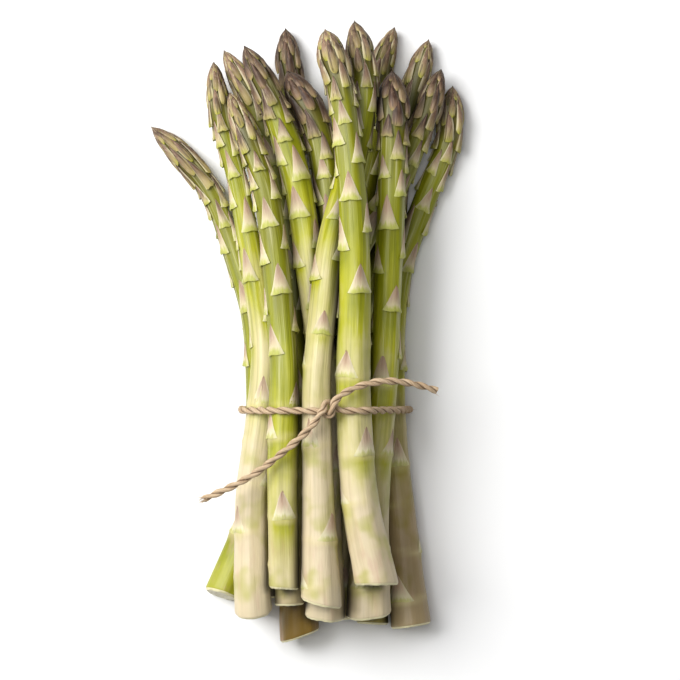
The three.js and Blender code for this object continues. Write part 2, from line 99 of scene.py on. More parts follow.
# widths are across the cut end, at the tie, under the head and across the head, peak is how far behind the
# tip the head is widest, and cut tilts the cut face sideways and upward. pale runs from -1, green, to 1, cream,
# brown is how brown the lower stem is, purple how dark the head is, and turn is the angle of the first scale.
fields = ("widths", "peak", "cut", "pale", "brown", "purple", "turn")
looks = {
    "spear_01": ((13.7, 10.4, 7.2, 8.6), 20, (0.05, -0.28), 0.75, 0, 0.3, 0.4),
    "spear_02": ((10.8, 10.7, 9, 9.4), 20, (-0.08, 0.1), -0.65, 0, 0.35, 1.9),
    "spear_03": ((14.8, 10.2, 9.6, 10.2), 16, (-0.25, -0.08), 0.85, 0, 0.6, 2.6),
    "spear_04": ((15.5, 12.6, 9.4, 10.7), 13, (-0.2, 0.06), 0.05, 0, 0.4, 0.9),
    "spear_05": ((16.2, 9.9, 10, 11.9), 16, (0.12, -0.2), 0, 0.1, 1.2, 3.3),
    "spear_06": ((14.8, 9.6, 8.3, 9.7), 17, (0.06, -0.05), 0.35, 0.8, 0.4, 4.0),
    "spear_07": ((10.4, 9.4, 7.4, 9), 16, (0, 0.05), -0.4, 0, 0.5, 5.1),
    "spear_08": ((10.8, 9.7, 8.3, 9), 18, (0.1, 0.1), -0.6, 0.4, 0.4, 0.2),
    "spear_09": ((14.4, 10.4, 10.1, 10.1), 18, (-0.06, -0.12), 1.0, 0, 0.85, 1.1),
    "spear_10": ((14.8, 9.7, 8.6, 9.2), 16, (0.28, 0.05), -1.2, 1.25, 0.95, 2.2),
    "spear_11": ((12.2, 10.4, 9.7, 11.9), 15, (0, 0.05), -0.3, 0.4, 1.0, 3.0),
    "spear_12": ((11.8, 10.1, 9, 9), 18, (-0.1, 0), -1.3, 0.6, 0.5, 4.4),
    "spear_13": ((11.2, 9.7, 9, 9.4), 18, (0, 0), -1, 0.2, 0.55, 5.5),
    "spear_14": ((11.5, 10.1, 8.8, 9.7), 18, (0.07, 0.2), -2, 0, 0.85, 0.7),
}
spears = {name: {"course": courses[name], **dict(zip(fields, looks[name]))} for name in courses}
spearNames = list(spears)
stations = np.arange(-bundle["reachY"], bundle["reachY"] + 1, bundle["stationStep"])


def smoothStep(value):
    # an S-shaped step: 3t^2 - 2t^3 for t from 0 to 1
    t = np.clip(value, 0, 1)
    return t * t * (3 - 2 * t)


def step(value, start, full):
    # the same step while the value goes from start to full
    return smoothStep((value - start) / (full - start))


def courseAt(at, values, y):
    # a cubic through the points, with the slope of the chord past each point, straight past both ends
    slope = chordSlopes(at, values)
    inside = np.clip(y, at[0], at[-1])
    i = np.clip(np.searchsorted(at, inside, side="right") - 1, 0, len(at) - 2)
    h = at[i + 1] - at[i]
    t = (inside - at[i]) / h
    curve = ((2 * t**3 - 3 * t**2 + 1) * values[i] + (t**3 - 2 * t**2 + t) * h * slope[i]
             + (3 * t**2 - 2 * t**3) * values[i + 1] + (t**3 - t**2) * h * slope[i + 1])
    return curve + (y - inside) * np.where(y < inside, slope[0], slope[-1])


def chordSlopes(at, values):
    # at each point the slope between its neighbours, at the ends that to the next point
    slope = np.empty(len(at))
    slope[1:-1] = (values[2:] - values[:-2]) / (at[2:] - at[:-2])
    slope[0] = (values[1] - values[0]) / (at[1] - at[0])
    slope[-1] = (values[-1] - values[-2]) / (at[-1] - at[-2])
    return slope


def endsOf(spear):
    # the y of the cut end and of the tip
    return spear["course"][0][0], spear["course"][-1][0]


def outerRadius(spear, y):
    # a dome to the widest part of the head, a neck, an even stem, and a flare to the cut end
    butt, tie, neck, head = spear["widths"]
    buttY, tipY = endsOf(spear)
    back = tipY - y
    t = np.clip(back / spear["peak"], 0, 1)
    neckY = tipY - spear["peak"] - bundle["headBlend"]
    stem = tie + (neck - tie) * np.clip((y - bundle["tieY"]) / (neckY - bundle["tieY"]), 0, 1)
    low = tie + (butt - tie) * np.clip((bundle["tieY"] - y) / (bundle["tieY"] - buttY), 0, 1) ** bundle["flare"]
    stem = np.where(y < bundle["tieY"], low, stem)
    body = stem + (head - stem) * (1 - smoothStep((back - spear["peak"]) / bundle["headBlend"]))
    return 0.5 * np.where(back < spear["peak"], head * (t * (2 - t)) ** bundle["dome"], body)


def headShare(spear, y):
    # 1 from the tip to the widest part of the head, 0 on the stem
    return 1 - smoothStep((endsOf(spear)[1] - y - spear["peak"]) / bundle["headBlend"])


def coreRadius(spear, y):
    # the body under the scales
    return outerRadius(spear, y) * (1 - (1 - bundle["coreShare"]) * headShare(spear, y))


def settleSpears():
    # the spears sink a little, push each other apart where they touch, and stay smooth
    specs = [spears[name] for name in spearNames]
    courses = [np.array(spec["course"], float) for spec in specs]
    startX = np.array([courseAt(c[:, 0], c[:, 1], stations) for c in courses])
    startZ = np.array([courseAt(c[:, 0], c[:, 2], stations) for c in courses])
    radius = np.array([outerRadius(spec, stations) for spec in specs])
    reach = settling["endReach"]
    active = np.array([(stations > c[0, 0] - reach) & (stations < c[-1, 0] + reach) for c in courses])
    raised = step(np.abs(stations - bundle["tieY"]), *bundle["roomReach"])
    ground = -bundle["restTrim"] + (bundle["restTrim"] + bundle["twineRoom"]) * raised
    one, other = np.triu_indices(len(specs), 1)
    both = active[one] & active[other]
    x, z = startX.copy(), startZ.copy()

    def bend(offset):
        # how far the middle between its neighbours lies from each point
        before = np.concatenate([offset[:, :1], offset[:, :-1]], axis=1)
        after = np.concatenate([offset[:, 1:], offset[:, -1:]], axis=1)
        return 0.5 * (before + after) - offset

    for turn in range(settling["free"]["rounds"] + settling["last"]["rounds"]):
        phase = settling["free" if turn < settling["free"]["rounds"] else "last"]
        slopeX = np.gradient(x, bundle["stationStep"], axis=1)
        slopeZ = np.gradient(z, bundle["stationStep"], axis=1)
        dx, dz = x[other] - x[one], z[other] - z[one]
        sx, sz = 0.5 * (slopeX[one] + slopeX[other]), 0.5 * (slopeZ[one] + slopeZ[other])
        flat = dx * dx + dz * dz + 1e-9
        apart = np.sqrt(np.maximum(flat - (dx * sx + dz * sz) ** 2 / (1 + sx * sx + sz * sz), 1e-9))
        lack = np.where(both, radius[one] + radius[other] + bundle["gap"] - apart, 0)
        push = 0.5 * np.maximum(lack, 0) / np.sqrt(flat)
        moveX, moveZ = np.zeros_like(x), np.zeros_like(z)
        np.add.at(moveX, one, -push * dx)
        np.add.at(moveX, other, push * dx)
        np.add.at(moveZ, one, -push * dz)
        np.add.at(moveZ, other, push * dz)
        x = x + phase["sideShare"] * moveX
        z = z + settling["upShare"] * moveZ - phase["sink"]
        x = x + phase["pull"] * (startX - x)
        for _ in range(phase["bendPasses"]):
            x = x + phase["bendShare"] * bend(x - startX)
            z = z + phase["bendShare"] * bend(z - startZ)
        z = np.maximum(z, radius + ground)
    return x, z


settledX, settledZ = settleSpears()
print("spears settled")


def framesAt(index, y):
    # the centre line at y, its direction and the two axes across it, as arrays shaped like y
    y = np.asarray(y, float)
    step = 1.0
    xAt = lambda place: courseAt(stations, settledX[index], place)
    zAt = lambda place: courseAt(stations, settledZ[index], place)
    along = np.stack([xAt(y + step) - xAt(y - step), np.full(y.shape, 2 * step), zAt(y + step) - zAt(y - step)], -1)
    along /= np.linalg.norm(along, axis=-1, keepdims=True)
    side = np.cross(along, (0.0, 0.0, 1.0))
    side /= np.linalg.norm(side, axis=-1, keepdims=True)
    return np.stack([xAt(y), y, zAt(y)], -1), along, side, np.cross(side, along)


def pointsOn(index, y, angle, radius, ahead=0.0):
    # points at an angle round the spear, at a radius from its centre line, moved ahead along it
    y, angle, radius, ahead = np.broadcast_arrays(y, angle, radius, ahead)
    centre, along, side, up = framesAt(index, y)
    across = side * np.cos(angle)[..., None] + up * np.sin(angle)[..., None]
    return centre + across * radius[..., None] + along * ahead[..., None]


def gridFaces(rows, columns):
    # quads of a grid whose columns run round, facing away from the axis
    i = np.arange(rows - 1)[:, None]
    j = np.arange(columns)[None, :]
    after = (j + 1) % columns
    quads = np.stack([i * columns + j, (i + 1) * columns + j, (i + 1) * columns + after, i * columns + after], -1)
    return quads.reshape(-1, 4)


def fanFaces(pole, ring):
    # triangles from a pole to a closed ring of points
    return np.stack([np.full(len(ring), pole), ring, np.roll(ring, -1)], -1)


def repeated(faces, starts):
    # the same faces for each shape, whose first points are given
    return (faces[None] + starts[:, None, None]).reshape(-1, faces.shape[1])


def rowsOf(*parts):
    # arrays that spread over one grid, as one row of numbers for each of its points
    return np.stack(np.broadcast_arrays(*parts), -1).reshape(-1, len(parts))


# painted shade: skins are darkened where another spear lies near
shadow = {"reach": (4.5, 0.3)}  # how near another spear is where a skin starts to darken, and is darkest


def paintedShadeShare(index, points):
    # painted shade: how far a skin is darkened, from 0 to 1 by the distance to the nearest other spear
    room = np.full(points.shape[:-1], np.inf)
    for other, name in enumerate(spearNames):
        low, high = endsOf(spears[name])
        if other != index:
            centre, along, _, _ = framesAt(other, points[..., 1])
            offset = points - centre
            offset = offset - along * np.sum(offset * along, axis=-1, keepdims=True)
            gap = np.linalg.norm(offset, axis=-1) - outerRadius(spears[name], points[..., 1])
            past = np.maximum(np.maximum(low - points[..., 1], points[..., 1] - high), 0)
            room = np.minimum(room, gap + past)
    return step(room, *shadow["reach"])


def makePiece(name, points, faces, materials, attributes, kinds=None):
    # points in mm in the bundle's frame, faces as arrays, kinds as the faces' material numbers
    mesh = bpy.data.meshes.new(name)
    world = (np.asarray(points) + bundle["shift"]) * mm
    mesh.from_pydata(world.tolist(), [], [face for part in faces for face in part.tolist()])
    for material in materials:
        mesh.materials.append(material)
    if kinds is not None:
        mesh.polygons.foreach_set("material_index", np.asarray(kinds, np.int32))
    mesh.polygons.foreach_set("use_smooth", np.ones(len(mesh.polygons), bool))
    for key, values in attributes.items():
        attribute = mesh.attributes.new(key, "FLOAT_VECTOR", "POINT")
        attribute.data.foreach_set("vector", np.asarray(values, np.float32).ravel())
    mesh.update()
    mesh.set_sharp_from_angle(angle=np.radians(bundle["sharpAngle"]))
    piece = bpy.data.objects.new(name, mesh)
    bpy.context.scene.collection.objects.link(piece)
    return piece


# Materials: small helpers, then the groups that several finishes share, then one function each

def srgb(red, green, blue):
    # a screen colour from 0 to 255 as linear light
    share = np.array([red, green, blue]) / 255
    linear = np.where(share < 0.04045, share / 12.92, ((share + 0.055) / 1.055) ** 2.4)
    return (*[float(v) for v in linear], 1.0)


def stops(*rows):
    # colours for a ramp, each row a place from 0 to 1 and its red, green and blue
    return [(place, srgb(*colour)) for place, *colour in rows]


def put(tree, kind, inputs=None, **settings):
    # adds a node, sets its settings, and sets or links its inputs
    node = tree.nodes.new(kind)
    for key, value in settings.items():
        setattr(node, key, value)
    for key, value in (inputs or {}).items():
        if isinstance(value, bpy.types.NodeSocket):
            tree.links.new(value, node.inputs[key])
        else:
            node.inputs[key].default_value = value
    return node


def maths(tree, operation, first, second, clamp=False):
    # one operation on two numbers or sockets
    return put(tree, "ShaderNodeMath", {0: first, 1: second}, operation=operation, use_clamp=clamp).outputs[0]


def product(tree, first, *others):
    # all of them multiplied
    for value in others:
        first = maths(tree, "MULTIPLY", first, value)
    return first


def swung(tree, first, value, middle, amount, clamp=False):
    # first + (value - middle) * amount
    return maths(tree, "ADD", first, product(tree, maths(tree, "SUBTRACT", value, middle), amount), clamp)


def remap(tree, value, low, high, lowOut=0.0, highOut=1.0):
    # an S-shaped step from lowOut to highOut while the value goes from low to high
    inputs = {0: value, 1: low, 2: high, 3: lowOut, 4: highOut}
    return put(tree, "ShaderNodeMapRange", inputs, interpolation_type="SMOOTHSTEP").outputs[0]


def blendColour(tree, share, first, second, kind="MIX"):
    # first * (1 - share) + second * share, or the two multiplied
    node = put(tree, "ShaderNodeMix", {0: share, 6: first, 7: second}, data_type="RGBA", blend_type=kind)
    return node.outputs[2]


def cover(tree, colour, layer, value, *shares):
    # lays a colour over another: the step from start to full of a value, times the strength and the shares
    over, start, full, strength = layer
    return blendColour(tree, product(tree, remap(tree, value, start, full), strength, *shares), colour, over)


def ramp(tree, value, colours):
    # a colour for each place from 0 to 1
    node = put(tree, "ShaderNodeValToRGB", {0: value})
    elements = node.color_ramp.elements
    elements[0].position, elements[0].color = colours[0]
    elements[1].position, elements[1].color = colours[-1]
    for place, colour in colours[1:-1]:
        elements.new(place).color = colour
    return node.outputs[0]


def noise(tree, vector, scale=1.0, detail=2.0, roughness=0.5):
    # soft random values round 0.5
    inputs = {"Vector": vector, "Scale": scale, "Detail": detail, "Roughness": roughness}
    return put(tree, "ShaderNodeTexNoise", inputs).outputs[0]


def stretched(tree, vector, across, along):
    # divides the place by a width across and a length along
    size = put(tree, "ShaderNodeCombineXYZ", {0: across, 1: across, 2: along}).outputs[0]
    return put(tree, "ShaderNodeVectorMath", {0: vector, 1: size}, operation="DIVIDE").outputs[0]


def makeGroup(name, inputs, outputs):
    # an empty node group with named inputs and outputs
    group = bpy.data.node_groups.new(name, "ShaderNodeTree")
    for key, kind, value in inputs:
        socket = group.interface.new_socket(name=key, in_out="INPUT", socket_type=kind)
        if value is not None:
            socket.default_value = value
    for key in outputs:
        group.interface.new_socket(name=key, in_out="OUTPUT", socket_type="NodeSocketFloat")
    return group, group.nodes.new("NodeGroupInput").outputs, group.nodes.new("NodeGroupOutput").inputs


fibreLook = {
    "fine": (0.25, 0.3),  # width and length of a fibre, as shares of a streak's
    "cloud": (6.0, 0.4),  # width of a cloud in mm, and its length as a share of a streak's
    "roughness": (0.55, 0.6, 0.55),
}


def fibreGroup():
    # long streaks, short fibres and soft clouds that run along the skin, each from 0 to 1
    group, (place, width, length, *_), result = makeGroup(
        "plantFibre",
        [("Place", "NodeSocketVector", None), ("Width", "NodeSocketFloat", 1.0), ("Length", "NodeSocketFloat", 30.0)],
        ("Streaks", "Fibres", "Clouds"))
    streakRoughness, fineRoughness, cloudRoughness = fibreLook["roughness"]
    fineWidth, fineLength = (product(group, size, share) for size, share in zip((width, length), fibreLook["fine"]))
    cloudWidth, cloudLength = fibreLook["cloud"]
    cloudPlace = stretched(group, place, cloudWidth, product(group, length, cloudLength))
    patterns = (
        noise(group, stretched(group, place, width, length), roughness=streakRoughness),
        noise(group, stretched(group, place, fineWidth, fineLength), roughness=fineRoughness),
        noise(group, cloudPlace, detail=3.0, roughness=cloudRoughness))
    for socket, value in zip(result, patterns):
        group.links.new(value, socket)
    return group


def shadeGroup():
    # painted shade: how much of a skin's light is left where it lies between its neighbours: 1 - share * depth
    group, (paintedShade, depth, *_), result = makeGroup(
        "paintedGapShade", [("ShadeShare", "NodeSocketFloat", 0.0), ("Depth", "NodeSocketFloat", 0.6)], ("Factor",))
    group.links.new(maths(group, "SUBTRACT", 1.0, product(group, paintedShade, depth), True), result[0])
    return group


fibre = fibreGroup()
shade = shadeGroup()


def newMaterial(name, look):
    # a material whose shader has the look's roughness and specular level
    material = bpy.data.materials.new(name)
    material.use_nodes = True
    tree = material.node_tree
    shader = tree.nodes["Principled BSDF"]
    shader.inputs["Roughness"].default_value = look["roughness"]
    shader.inputs["Specular IOR Level"].default_value = look["specular"]
    return material, tree, shader


def readVector(tree, name):
    # a mesh attribute
    return put(tree, "ShaderNodeAttribute", attribute_name=name).outputs["Vector"]


def readParts(tree, name):
    # the three numbers of a mesh attribute
    return put(tree, "ShaderNodeSeparateXYZ", {0: readVector(tree, name)}).outputs


def fibrePatterns(tree, skin, look):
    # streaks, fibres and clouds of the look's width and length
    width, length = look["fibre"]
    return put(tree, "ShaderNodeGroup", {"Place": skin, "Width": width, "Length": length}, node_tree=fibre).outputs


def shaded(tree, colour, depth):
    # a colour darkened as painted shade where the skin lies between spears, and the share of light left there
    paintedShade, _, _ = readParts(tree, "shade")
    factor = put(tree, "ShaderNodeGroup", {"ShadeShare": paintedShade, "Depth": depth}, node_tree=shade).outputs["Factor"]
    grey = put(tree, "ShaderNodeCombineXYZ", {0: factor, 1: factor, 2: factor}).outputs[0]
    return blendColour(tree, 1.0, colour, grey, "MULTIPLY"), factor


def finishSkin(tree, shader, colour, height, look):
    # the colour, and a relief of the look's strength and depth in metres
    strength, depth = look["bump"]
    bump = put(tree, "ShaderNodeBump", {"Strength": strength, "Distance": depth, "Height": height}).outputs[0]
    tree.links.new(colour, shader.inputs["Base Color"])
    tree.links.new(bump, shader.inputs["Normal"])


def relief(tree, streaks, fibres, share):
    # streaks * share + fibres * (1 - share)
    return maths(tree, "ADD", product(tree, streaks, share), product(tree, fibres, 1 - share))


# In the looks below, a layer is its colour, the value where it starts, the value where it is full, and its strength.
stemLook = {
    "roughness": 0.5,
    "specular": 0.4,
    "wax": (0.22, 0.42),  # strength and roughness of the pale bloom that catches the light
    "bump": (0.5, 0.0006),
    "fibre": (1.5, 45.0),  # width and length of the streaks in mm
    "streakRelief": 0.6,  # share of the streaks in the relief, the rest is fibres
    # painted shade: the share of the colour's light taken away between spears
    "paintedShade": 0.93,  # light lost where the skin is buried
    # from the cut end to the neck, and what moves a place along these colours: clouds, paleness, a scale above it
    "colours": stops((0, 206, 190, 156), (0.18, 196, 186, 130), (0.4, 168, 167, 28), (0.62, 138, 141, 0),
                     (1, 122, 122, 4)),
    "cloudDrift": (0.5, 0.5),
    "paleDrift": 0.29,
    "scaleDrift": (0.3, 0.36),
    # painted shade: the body between the head's scales is darkened as shade in the gaps, by the distance behind the
    # tip
    "headGapShade": (srgb(88, 82, 26), 28.0, 14.0, 1.0),  # by the distance behind the tip
    "streakFade": (0.1, 0.5, 0.35, 1.0),  # streaks are weaker near the cut end
    "deep": (srgb(74, 80, 2), 0.5, 0.7, 0.32),  # by the streaks
    "light": (srgb(212, 208, 158), 0.46, 0.3, 0.4),
    "patch": (srgb(158, 158, 52), 0.46, 0.7, 0.65),  # by a noise of the scale below
    "patchScale": 0.09,
    "patchPart": (0.55, 0.2),
    "stain": (srgb(114, 84, 6), 0.55, 0.2, 0.75),  # by the share of the length, on brown stems
    "blush": (srgb(190, 154, 134), 0.5, 0.68, 0.5),  # by the clouds
    "blushPart": (0.26, 0.0),
    "ring": (srgb(206, 192, 140), 0.6),  # its colour and strength
}


def stemSkin():
    # green stem: place holds (share from the cut end, distance behind the tip, paleness), leaf (share from the
    # axis to the skin, closeness under a scale, brownness), shade (painted shade between spears, swelling of a
    # ring), and skin a place in mm
    look = stemLook
    material, tree, shader = newMaterial("stem_skin", look)
    wax, shader.inputs["Coat Roughness"].default_value = look["wax"]
    share, back, pale = readParts(tree, "place")
    _, under, brown = readParts(tree, "leaf")
    _, ringed, _ = readParts(tree, "shade")
    skin = readVector(tree, "skin")
    streaks, fibres, clouds = fibrePatterns(tree, skin, look)
    along = swung(tree, share, clouds, *look["cloudDrift"])
    along = maths(tree, "SUBTRACT", along, product(tree, pale, look["paleDrift"]))
    along = swung(tree, along, under, *look["scaleDrift"], True)
    colour = ramp(tree, along, look["colours"])
    # painted shade in the gaps between the head's scales
    colour = cover(tree, colour, look["headGapShade"], back)
    strength = remap(tree, share, *look["streakFade"])
    colour = cover(tree, colour, look["deep"], streaks, strength)
    colour = cover(tree, colour, look["light"], streaks, strength)
    patches = noise(tree, skin, look["patchScale"])
    colour = cover(tree, colour, look["patch"], patches, remap(tree, share, *look["patchPart"]))
    colour = cover(tree, colour, look["stain"], share, brown)
    colour = cover(tree, colour, look["blush"], clouds, remap(tree, share, *look["blushPart"]))
    ringColour, ringStrength = look["ring"]
    colour = blendColour(tree, product(tree, ringed, ringStrength), colour, ringColour)
    # painted shade: the colour and the coat are darkened where the skin lies between spears
    colour, factor = shaded(tree, colour, look["paintedShade"])
    tree.links.new(product(tree, factor, wax), shader.inputs["Coat Weight"])
    finishSkin(tree, shader, colour, relief(tree, streaks, fibres, look["streakRelief"]), look)
    return material


scaleLook = {
    "roughness": 0.55,
    "specular": 0.4,
    "bump": (0.6, 0.0004),
    "fibre": (1.1, 14.0),
    "streakRelief": 0.5,
    # painted shade: the share of the colour's light taken away between spears
    "paintedShade": 0.78,
    # from a scale's base to its apex: high on the stem, low on it, on the head, and on a dark head
    "high": stops((0, 176, 178, 84), (0.1, 176, 178, 84), (0.24, 202, 190, 150), (0.55, 180, 156, 130),
                  (1, 146, 116, 94)),
    "low": stops((0, 190, 186, 120), (0.08, 190, 186, 120), (0.2, 212, 204, 168), (0.5, 196, 172, 146),
                 (1, 166, 136, 114)),
    "head": stops((0, 172, 172, 50), (0.16, 172, 156, 98), (0.45, 142, 115, 90), (1, 102, 74, 56)),
    "dark": stops((0, 172, 156, 98), (0.12, 142, 115, 90), (0.4, 62, 38, 26), (1, 34, 19, 14)),
    "streakDrift": (0.5, 0.35),  # moves a place along these colours
    "lowPart": (0.5, 0.2),  # by the share of the stem's length
    "headPart": (40.0, 16.0),  # by the distance behind the tip
    "darkPart": (0.35, 0.95),  # by the darkness of the head
    "fresh": (srgb(172, 156, 98), 0.6, 1.0, 1.0),  # by the scale's tone, toward its base
    "freshBase": (0.75, 0.2),
    "freshDark": (0.6, 1.0, 0.6, 0.2),  # less on a dark head
    "dull": (srgb(62, 38, 26), 0.4, 0.0, 0.4),  # by the scale's tone
    "midrib": (srgb(140, 108, 84), 0.4, 0.05, 0.45),  # by the distance from the middle line
    "midribPart": (0.2, 0.7),
    "margin": (srgb(212, 204, 168), 0.6, 0.95, 0.65),
    "marginDark": (1.2, 0.4),
    "vein": (srgb(206, 188, 160), 0.54, 0.68, 1.0),  # by the fibres
    "veinDark": (0.5, 1.0, 0.4, 0.15),
    "line": (srgb(56, 36, 24), 0.5, 0.36, 1.0),  # by the streaks
    "lineStrength": (0.12, 0.6),  # on the stem, and what the head adds
}


def scaleSkin():
    # scales: leaf holds (0 at the base to 1 at the apex, -1 to 1 across, darkness of the head), shade (painted
    # shade between spears, tone of the scale from 0 to 1), place and skin as on the stem
    look = scaleLook
    material, tree, shader = newMaterial("scale_skin", look)
    share, back, _ = readParts(tree, "place")
    up, across, purple = readParts(tree, "leaf")
    _, tone, _ = readParts(tree, "shade")
    skin = readVector(tree, "skin")
    streaks, fibres, _ = fibrePatterns(tree, skin, look)
    place = swung(tree, up, streaks, *look["streakDrift"], True)
    high, low, head, dark = (ramp(tree, place, look[key]) for key in ("high", "low", "head", "dark"))
    colour = blendColour(tree, remap(tree, share, *look["lowPart"]), high, low)
    head = blendColour(tree, remap(tree, purple, *look["darkPart"]), head, dark)
    nearBase, notDark = remap(tree, up, *look["freshBase"]), remap(tree, purple, *look["freshDark"])
    head = cover(tree, head, look["fresh"], tone, nearBase, notDark)
    head = cover(tree, head, look["dull"], tone)
    inHead = remap(tree, back, *look["headPart"])
    colour = blendColour(tree, inHead, colour, head)
    aside = maths(tree, "ABSOLUTE", across, 0.0)
    colour = cover(tree, colour, look["midrib"], aside, remap(tree, up, *look["midribPart"]))
    colour = cover(tree, colour, look["margin"], aside, remap(tree, purple, *look["marginDark"]))
    colour = cover(tree, colour, look["vein"], fibres, remap(tree, purple, *look["veinDark"]))
    onStem, inHeadMore = look["lineStrength"]
    darker = maths(tree, "ADD", onStem, product(tree, inHead, inHeadMore))
    colour = cover(tree, colour, look["line"], streaks, darker)
    # painted shade: the colour is darkened where a scale lies between spears
    colour, _ = shaded(tree, colour, look["paintedShade"])
    finishSkin(tree, shader, colour, relief(tree, streaks, fibres, look["streakRelief"]), look)
    return material


cutLook = {
    "roughness": 0.6,
    "specular": 0.5,
    "bump": (0.7, 0.0005),
    "flesh": srgb(228, 222, 196),
    "pores": (2.2, 2.0, 0.6),  # scale, detail and roughness of their noise
    "pore": (srgb(180, 162, 108), 0.55, 0.7, 1.0),
    "rim": (srgb(224, 216, 172), 0.8, 1.0, 1.0),  # by the share from the middle to the skin
}


def cutSkin():
    # cut face: leaf holds (0 in the middle to 1 at the skin)
    look = cutLook
    material, tree, shader = newMaterial("cut_face", look)
    radial, _, _ = readParts(tree, "leaf")
    skin = readVector(tree, "skin")
    pores = noise(tree, skin, *look["pores"])
    colour = cover(tree, look["flesh"], look["pore"], pores)
    colour = cover(tree, colour, look["rim"], radial)
    finishSkin(tree, shader, colour, pores, look)
    return material


twineLook = {
    "roughness": 0.85,
    "specular": 0.2,
    "bump": (0.8, 0.0003),
    "middle": srgb(172, 144, 112),
    "hairSize": (0.22, 2.5),  # width and length in mm
    "cloudSize": (3.0, 12.0),
    "light": (srgb(206, 184, 154), 0.35, 0.65, 1.0),  # by the hairs
    "cloud": (srgb(172, 144, 112), 0.5, 0.7, 0.4),
    # painted shade: the colour darkens down in the grooves between the plies
    "groove": (srgb(84, 58, 36), 0.35, 0.0, 0.8),  # by the height in the groove
}


def twineSkin():
    # jute: lay holds (turn round the strand, millimetres along, height in the groove from 0 to 1)
    look = twineLook
    material, tree, shader = newMaterial("twine_jute", look)
    _, _, groove = readParts(tree, "lay")
    skin = readVector(tree, "skin")
    hairs = noise(tree, stretched(tree, skin, *look["hairSize"]), detail=3.0, roughness=0.6)
    clouds = noise(tree, stretched(tree, skin, *look["cloudSize"]))
    colour = cover(tree, look["middle"], look["light"], hairs)
    colour = cover(tree, colour, look["cloud"], clouds)
    # painted shade in the grooves
    colour = cover(tree, colour, look["groove"], groove)
    finishSkin(tree, shader, colour, hairs, look)
    return material


# Camera: straight down on the bundle, as in the picture
view = {
    "frameWidth": 244.8,  # millimetres across the picture at the middle of the bundle
    "centre": (11.88, -2.47, 25.0),
    "distance": 2500.0,
    "sensor": 36.0,
    "clip": (0.05, 20.0),  # metres
}


def makeCamera():
    # the lens takes in frameWidth at the given distance: sensor * distance / frameWidth
    data = bpy.data.cameras.new("camera")
    data.sensor_width = view["sensor"]
    data.lens = view["sensor"] * view["distance"] / view["frameWidth"]
    data.clip_start, data.clip_end = view["clip"]
    camera = bpy.data.objects.new("camera", data)
    x, y, z = view["centre"]
    camera.location = Vector((x, y, z + view["distance"])) * mm
    bpy.context.scene.collection.objects.link(camera)
    bpy.context.scene.camera = camera


makeCamera()
print("camera placed")

twine = {
    "width": 2.8,
    "clear": 0.2,  # between the twine and the spears
    "knotX": 5.9,
    "knotReach": 7.5,  # the wrap's points nearer to the knot than this are left out
    "knotDepth": 4.0,  # and lie no further than this below its top
    "circleSides": 24,  # of the circles round the spears that the wrap is stretched over
    "wrapStep": 3.0,
    "curveSteps": 24,  # between two points of the path
    "ringStep": 0.45,
    "sides": 30,
    "plies": 2,
    "pitch": 11.0,  # length of a full turn of the strand
    "plyOffset": 0.4,  # from the strand's middle to a ply's, as a share of its radius
    "plySize": 0.6,
    "grooveFoot": 0.5,  # the radius at the bottom of a groove, as a share of the strand's
    "seed": 11,
    "wobble": (0.93, 1.06),
    "wobbles": 60,  # random widths along the strand
    "capRise": 0.2,
    # the frayed end, from the lower left to the knot: [x, y, height over the top of the wrap]
    "frayedEnd": [(-37.2, -59.5, -5.5), (-31.5, -57, -3.6), (-25.7, -54.2, -1.8), (-20.4, -51.2, -0.4),
                  (-15.4, -47.8, 0.9), (-10.8, -44.2, 2), (-6.6, -40.8, 2.7), (-2.8, -37.4, 3.1)],
    "cutEnd": [(11.7, -22.4, 3.7), (14.6, -20.7, 3.7), (18.2, -19.2, 3.5), (22.2, -18.1, 2.9), (27, -17.4, 1.9),
               (31.8, -17.5, 0.5), (36.6, -18.2, -1.1), (41.5, -19.4, -2.8), (46, -20.8, -4.4)],
    # in the knot, from its middle: one strand hooks over the other, and the other under and back over
    "knotOver": [(-5.2, -6, 3.2), (-3, -3.3, 3.3), (-1.6, -0.9, 3.2), (-0.5, 0.3, 2.9), (0.1, 2.6, 2),
                 (1.6, 3.1, 0.5), (2.5, 2.4, 0.1), (3.9, 1, 0), (5.8, 0.1, 0)],
    "knotUnder": [(-5.6, -0.1, 0), (-3.2, -0.2, 0), (-0.8, -0.5, -0.2), (1.2, -1.4, 0.8), (2.3, -1.1, 2.1),
                  (2.9, 1.5, 3.3), (3.4, 3, 3.4)],
}


def hullOf(points):
    # the convex outline round points in a plane, anticlockwise
    ordered = sorted(map(tuple, points.tolist()))

    def chain(items):
        # leaves out each point past which the outline would turn clockwise
        hull = []
        for p in items:
            while len(hull) > 1 and ((hull[-1][0] - hull[-2][0]) * (p[1] - hull[-2][1])
                                     - (hull[-1][1] - hull[-2][1]) * (p[0] - hull[-2][0])) <= 0:
                hull.pop()
            hull.append(p)
        return hull[:-1]

    return np.array(chain(ordered) + chain(ordered[::-1]))


